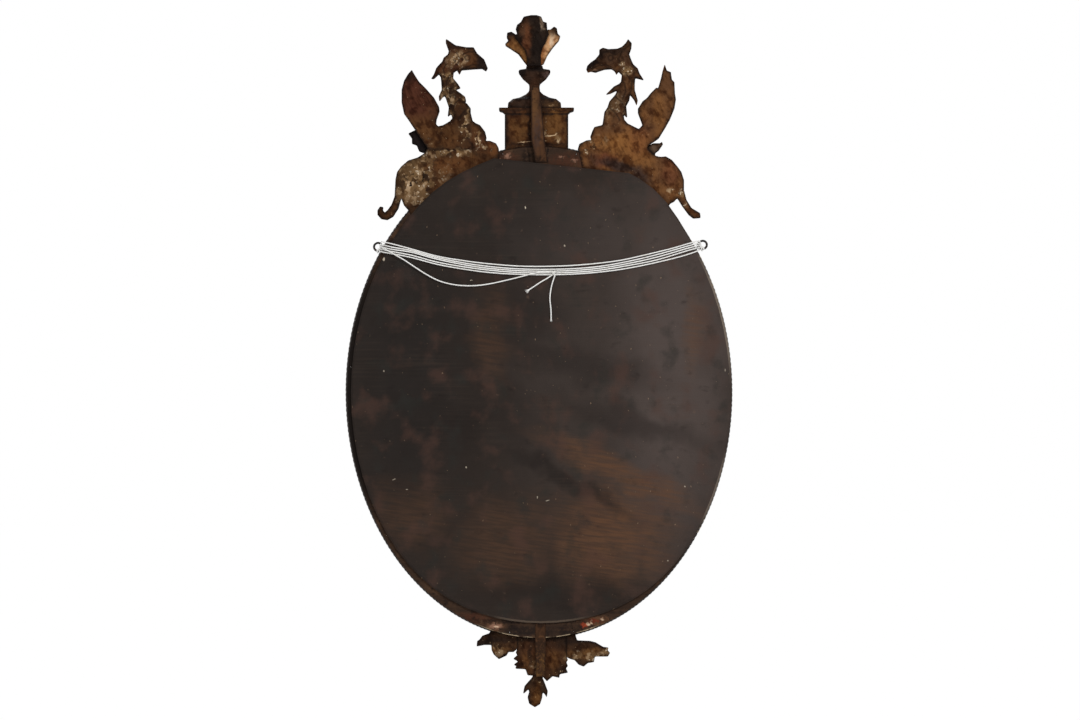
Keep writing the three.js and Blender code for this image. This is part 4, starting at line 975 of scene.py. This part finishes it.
griffin_cuts = {
    "wing": [
        [(33, 108), (52, 138), (68, 168), (76, 196)], [(41, 102), (62, 132), (79, 160), (87, 184)],
        [(48, 96), (70, 124), (87, 146), (94, 168)], [(53, 88), (74, 110), (88, 126), (96, 142)],
        [(56, 78), (70, 92), (82, 104), (92, 118)], [(27, 116), (44, 148), (58, 170), (68, 188)],
    ],
    "coverts": [
        [(24, 112), (34, 118), (41, 111), (50, 110), (53, 101), (61, 97), (62, 86), (66, 78)],
        [(26, 100), (34, 104), (40, 98), (48, 95), (50, 86), (57, 80), (56, 70)],
    ],
    "body": [
        [(-38, 96), (-20, 84), (-6, 66), (-2, 46)], [(20, 84), (28, 66), (30, 50)],
        [(-60, 78), (-50, 66), (-46, 50)], [(-26, 100), (-8, 88), (8, 70), (14, 50)],
    ],
    "neck": [
        [(-16, 188), (-6, 176), (-4, 160), (-10, 146)], [(-4, 196), (8, 182), (8, 164), (0, 150)],
        [(-24, 150), (-10, 138), (-4, 124), (-8, 112)], [(4, 148), (0, 132), (-8, 120)],
        [(-36, 128), (-24, 118), (-16, 104)], [(8, 216), (14, 206), (12, 194)],
    ],
    "head": [
        [(-72, 206), (-58, 212), (-44, 214), (-34, 210)], [(-50, 240), (-36, 240), (-24, 234)],
        ringed(-34, 228, 5), [(-66, 220), (-60, 217)], [(-6, 246), (2, 252), (6, 262)],
        [(-14, 214), (-18, 226), (-12, 240)],
    ],
    "haunch": [
        [(92, 20), (80, 6), (60, 0), (40, 8), (28, 24)], [(96, -10), (78, -28), (54, -30), (34, -20)],
        [(84, -56), (74, -50), (60, -56)],
    ],
    "foreleg": [
        [(-82, 58), (-76, 44), (-78, 30)], [(-92, 50), (-87, 38), (-88, 26)],
        [(-70, 60), (-64, 44), (-66, 24)],
    ],
    "tail": [[(103, -40), (112, -62), (122, -80), (136, -86), (141, -80)]],
    "scales": [
        [(-52 + 9 * i + 4.5 * (j % 2) + dx, 104 - 9 * j + dz)
         for dx, dz in ((-4, 3), (-2.5, -1.5), (0, -3), (2.5, -1.5), (4, 3))]
        for j in range(6) for i in range(5)
    ],
}
wing_strokes = [("wing", -1, 1.8, 4.2), ("coverts", -1, 1.8, 3.4)]
griffin_strokes = {
    "wing": wing_strokes,
    "torso": wing_strokes + [
        ("neck", -1, 2.2, 4.0), ("neck", 1, 1.6, 1.4), ("head", -1, 1.6, 3.4), ("head", 1, 1.4, 1.6),
        ("body", -1, 2.6, 3.6), ("scales", -1, 1.3, 2.0),
    ],
    "haunch": [("haunch", -1, 2.4, 4.0)],
    "foreleg": [("foreleg", -1, 2.4, 4.0)],
    "tail": [("tail", -1, 2.4, 4.0)],
    "hip_leaf": [],
}

right_wood = worn_carving(
    "griffin_right_wood", (84, 54, 31), (60, 39, 25),
    coats=[
        ((80, 44, 32), [(247, 590, 44, 56, 0, 0.75), (100, 500, 30, 18, 0, 0.4), (176, 660, 34, 26, 0, 0.3)]),
        ((96, 64, 36), [(250, 524, 40, 26, 0, 0.6), (167, 455, 60, 26, 20, 0.3), (187, 515, 46, 24, 0, 0.4)]),
        ((106, 84, 56), [(262, 432, 34, 48, 0, 0.6), (226, 468, 40, 12, 20, 0.4)]),
        ((122, 76, 40), [
            (174, 452, 34, 14, 20, 0.3), (97, 489, 20, 12, 0, 0.5), (206, 450, 20, 12, 20, 0.4),
        ]),
        ((34, 24, 20), [
            (187, 484, 84, 4, 2, 0.7), (260, 636, 12, 16, 0, 0.8), (113, 655, 11, 15, 0, 0.95),
            (133, 494, 4, 22, 24, 0.6), (146, 640, 9, 8, 0, 0.6), (180, 600, 8, 40, 0, 0.4),
            (318, 330, 22, 20, 0, 0.6), (300, 386, 5, 20, 0, 0.6),
        ]),
    ],
    gesso=[
        (243, 431, 44, 54, 0, 0.6), (261, 413, 11, 13, 0, 1.0), (227, 425, 13, 9, 0, 1.0),
        (173, 478, 30, 7, 0, 0.9), (150, 548, 10, 46, 6, 0.8), (176, 596, 10, 34, 0, 0.6),
        (121, 515, 2.4, 20, 4, 1.0), (127, 512, 1.2, 20, 4, 1.0), (109, 485, 12, 10, 0, 0.4),
        (181, 634, 11, 4, 0, 0.9), (164, 664, 18, 14, 0, 0.7), (300, 405, 8, 26, 0, 0.7),
        (190, 600, 6, 30, 0, 0.5),
    ],
    fleck=0.7,
)
left_wood = worn_carving(
    "griffin_left_wood", (120, 80, 46), (92, 61, 38),
    coats=[
        ((92, 62, 40), [(-242, 600, 34, 60, -10, 0.6), (-259, 440, 34, 40, 0, 0.5)]),
        ((138, 92, 48), [
            (-167, 497, 44, 18, 0, 0.7), (-238, 560, 12, 40, 0, 0.4), (-196, 470, 20, 22, 0, 0.4),
        ]),
        ((108, 58, 38), [
            (-130, 463, 24, 14, 0, 0.6), (-262, 440, 16, 24, 0, 0.4), (-200, 505, 20, 30, 0, 0.3),
        ]),
        ((60, 42, 31), [
            (-153, 590, 26, 48, 0, 0.75), (-146, 670, 46, 26, 0, 0.85), (-172, 630, 24, 24, 0, 0.6),
        ]),
        ((52, 41, 38), [
            (-162, 452, 46, 10, -14, 0.9), (-204, 432, 30, 12, -42, 0.8), (-112, 462, 12, 12, 0, 0.5),
        ]),
        ((26, 19, 17), [
            (-104, 656, 17, 13, 0, 0.95), (-122, 676, 16, 9, 0, 0.8), (-150, 680, 26, 6, 0, 0.6),
            (-180, 706, 10, 18, -20, 0.6), (-224, 374, 40, 16, 0, 0.3),
        ]),
        ((164, 130, 104), [(-125, 642, 18, 2.4, 4, 0.8)]),
    ],
    gesso=[
        (-104, 486, 16, 16, 0, 0.75), (-261, 398, 10, 6, 0, 0.8), (-283, 394, 6, 10, 0, 0.8),
        (-179, 641, 10, 7, 0, 1.0), (-165, 653, 5, 5, 0, 0.9), (-150, 560, 18, 30, 0, 0.3),
        (-118, 500, 12, 10, 0, 0.5), (-290, 380, 5, 14, 0, 0.6),
    ],
    fleck=0.4,
)
dark_hip = worn_carving("right_hip_leaf_wood", (34, 27, 26), (22, 18, 18), fleck=0.1)
grey_hip = worn_carving("left_hip_leaf_wood", (98, 78, 62), (66, 52, 44), fleck=0.2)

for side, seat, mirrored, finish, hip in [
    ("right", 62.8, 1, right_wood, dark_hip), ("left", 117.2, -1, left_wood, grey_hip),
]:
    base, _ = oval_point(seat, 0)
    x, z = base.x * 1000, base.z * 1000
    carvings = {part: carved_copy(f"griffin_{side}_{part}", 1.1, 16, 1)
                for part in ("torso", "wing", "haunch", "foreleg", "tail", "hip_leaf")
                if f"griffin_{side}_{part}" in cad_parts}
    mark_rims([piece for part, piece in carvings.items() if part != "hip_leaf"], 9)
    mark_rims([carvings["hip_leaf"]], 5)
    for part, piece in carvings.items():
        for lines, face, width, depth in griffin_strokes[part]:
            cut(piece, placed(griffin_cuts[lines], x, z, mirrored), face, width, depth)
        dress(piece, hip if part == "hip_leaf" else finish)
        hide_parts(f"griffin_{side}_{part}")
        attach(piece, "root")

# Crest ----------------------------------------------------------------------------------------------
# A small pine plinth with a moulded cap stands on the frame between the griffins, and carries a turned
# vase with three carved leaves. All of it is fixed to the front of the upright batten.
plinth_wood = worn_carving(
    "plinth_wood", (95, 61, 33), (66, 42, 26),
    coats=[
        ((108, 72, 38), [(36, 530, 18, 30, 0, 0.5), (-32, 536, 18, 30, 0, 0.75)]),
        ((70, 42, 27), [(40, 556, 30, 12, 0, 0.5)]),
        ((32, 22, 18), [
            (19, 530, 3, 46, 0, 0.8), (6, 496, 64, 3.4, 0, 0.8), (66, 530, 4, 46, 0, 0.6),
            (14, 562, 90, 2.6, 0, 0.7), (-58, 530, 4, 40, 0, 0.5),
        ]),
        ((206, 178, 140), [
            (29, 501, 12, 1.0, 0, 1.0), (-27, 514, 12, 1.4, 14, 1.0), (-38, 504, 2.4, 4, 0, 1.0),
            (-10, 503, 4, 1.4, 0, 0.8),
        ]),
    ],
    gesso=[(-12, 550, 2.0, 40, 0, 0.8), (-36, 506, 5, 6, 0, 1.0)], fleck=0.3,
)
vase_wood = worn_carving(
    "vase_wood", (60, 42, 31), (42, 30, 24),
    coats=[
        ((27, 21, 19), [(36, 640, 12, 9, 0, 0.9), (-12, 646, 26, 6, 0, 0.8)]),
        ((96, 76, 70), [(-14, 632, 7, 6, -30, 0.7)]), ((80, 50, 33), [(8, 600, 10, 30, 0, 0.5)]),
        ((96, 68, 42), [(-30, 574, 20, 8, 0, 0.6)]),
    ],
    gesso=[(-20, 572, 14, 1.6, 0, 0.9), (-14, 585, 3, 10, 0, 0.6)], fleck=0.3,
)
leaf_woods = {
    "middle": worn_carving(
        "middle_leaf_wood", (50, 36, 27), (36, 26, 21),
        coats=[
            ((100, 60, 37), [(24, 708, 9, 30, 0, 0.8)]),
            ((26, 20, 17), [(4, 690, 13, 44, 0, 0.8), (10, 762, 22, 8, 0, 0.7)]),
            ((142, 122, 102), [(-6, 736, 4, 12, 14, 0.8)]), ((84, 56, 38), [(34, 726, 6, 14, 0, 0.6)]),
        ],
        fleck=0.5,
    ),
    "right": worn_carving(
        "right_leaf_wood", (132, 90, 50), (98, 64, 36),
        coats=[((34, 25, 21), [(58, 718, 22, 12, 0, 1.0), (74, 702, 6, 9, 0, 0.9)])], fleck=0.3,
    ),
    # The left leaf's cream ground and pale spot are partly its worn gesso and partly painted light on its
    # face.
    "left": worn_carving(
        "left_leaf_wood", (218, 172, 126), (190, 134, 88),
        coats=[
            ((38, 28, 24), [(-38, 724, 20, 12, 0, 1.0), (-50, 706, 6, 8, 0, 0.9)]),
            ((150, 92, 48), [(-2, 672, 8, 26, 0, 0.8)]), ((226, 200, 170), [(-26, 700, 5, 14, 0, 0.7)]),
        ],
        fleck=0.3,
    ),
}
leaf_cuts = {
    "middle": [
        [(12, 655), (12, 690), (11, 720), (10, 745)], [(4, 672), (-2, 696), (-6, 716), (-4, 738)],
        [(20, 672), (29, 696), (34, 716), (32, 738)], [(-16, 716), (-4, 722), (0, 712)],
        [(46, 712), (34, 722), (30, 712)],
    ],
    "right": [[(26, 662), (38, 680), (54, 694), (62, 704)], [(34, 664), (50, 684), (64, 692)]],
    "left": [[(-4, 662), (-14, 682), (-28, 702), (-36, 716)], [(-8, 658), (-22, 676), (-36, 700)]],
}
LEAF_HOLLOW = 0.0035
crest_pieces = []
for side, lines in leaf_cuts.items():
    leaf = carved_copy(f"finial_leaf_{side}", 1.0, 8)
    mark_rims([leaf], 6 if side == "middle" else 4)
    places, facing = vertex_arrays(leaf)
    places[:, 1] -= LEAF_HOLLOW * np.clip(facing[:, 1], 0, 1) * (1 - vertex_values(leaf, "rim"))
    move_vertices(leaf, places)
    cut(leaf, lines, -1, 1.8, 3.2)
    crest_pieces.append((leaf, f"finial_leaf_{side}", leaf_woods[side]))
for node, finish, reach in [
    ("crest_plinth", plinth_wood, 9), ("crest_cornice", plinth_wood, 5), ("crest_baluster", vase_wood, 6),
]:
    piece = carved_copy(node, 1.1, 0, 1)
    mark_rims([piece], reach)
    crest_pieces.append((piece, node, finish))
for piece, node, finish in crest_pieces:
    dress(piece, finish)
    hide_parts(node)
    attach(piece, "root")

# Pendant --------------------------------------------------------------------------------------------
# A shell between two leaves, carved in pine, hangs under the frame with a small drop below it. All of it
# is fixed to the front of its own batten.
pendant_wood = worn_carving(
    "pendant_wood", (66, 44, 28), (46, 32, 23),
    coats=[
        ((84, 50, 30), [(0, -530, 44, 32, 0, 0.5)]),
        ((124, 86, 48), [(-90, -524, 34, 8, 0, 0.5), (80, -516, 22, 6, 0, 0.5)]),
        ((108, 72, 38), [
            (4, -606, 9, 24, 0, 0.8), (24, -540, 14, 20, 0, 0.5), (-30, -536, 12, 20, 0, 0.5),
            (-110, -516, 20, 6, 0, 0.6),
        ]),
        ((30, 22, 19), [
            (18, -528, 4, 24, 0, 0.7), (80, -494, 44, 6, 0, 0.7), (-70, -496, 30, 8, 0, 0.7),
            (-2, -492, 90, 5, 0, 0.6), (108, -500, 14, 8, 0, 0.8), (40, -545, 14, 6, 0, 0.6),
        ]),
    ],
    gesso=[
        (84, -514, 14, 10, 0, 0.45), (-92, -528, 34, 10, 0, 0.5), (-132, -514, 8, 8, 0, 0.9),
        (10, -556, 8, 14, 0, 0.25),
    ],
    fleck=0.6,
)
pendant_cuts = {
    "pendant_shell": [[(-5, -496), (-48 + 14 * i, -566)] for i in range(8)],
    "pendant_leaf_right": [
        [(46, -498), (70, -502), (96, -500), (118, -498)], [(50, -506), (66, -516), (80, -526)],
        [(60, -490), (78, -488), (98, -486)],
    ],
    "pendant_leaf_left": [
        [(-58, -498), (-84, -506), (-110, -514), (-134, -518)], [(-62, -506), (-80, -522), (-90, -540)],
        [(-66, -492), (-92, -498), (-118, -504)],
    ],
    "pendant_drop": [
        [(2, -570), (4, -600), (8, -624)], [(8, -572), (22, -592), (28, -600)],
        [(-4, -574), (-10, -592), (-14, -604)],
    ],
}
for node, lines in pendant_cuts.items():
    piece = carved_copy(node, 1.25, 10)
    mark_rims([piece], 5)
    cut(piece, lines, -1, 2.0, 4.0)
    dress(piece, pendant_wood)
    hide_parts(node)
    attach(piece, "root")
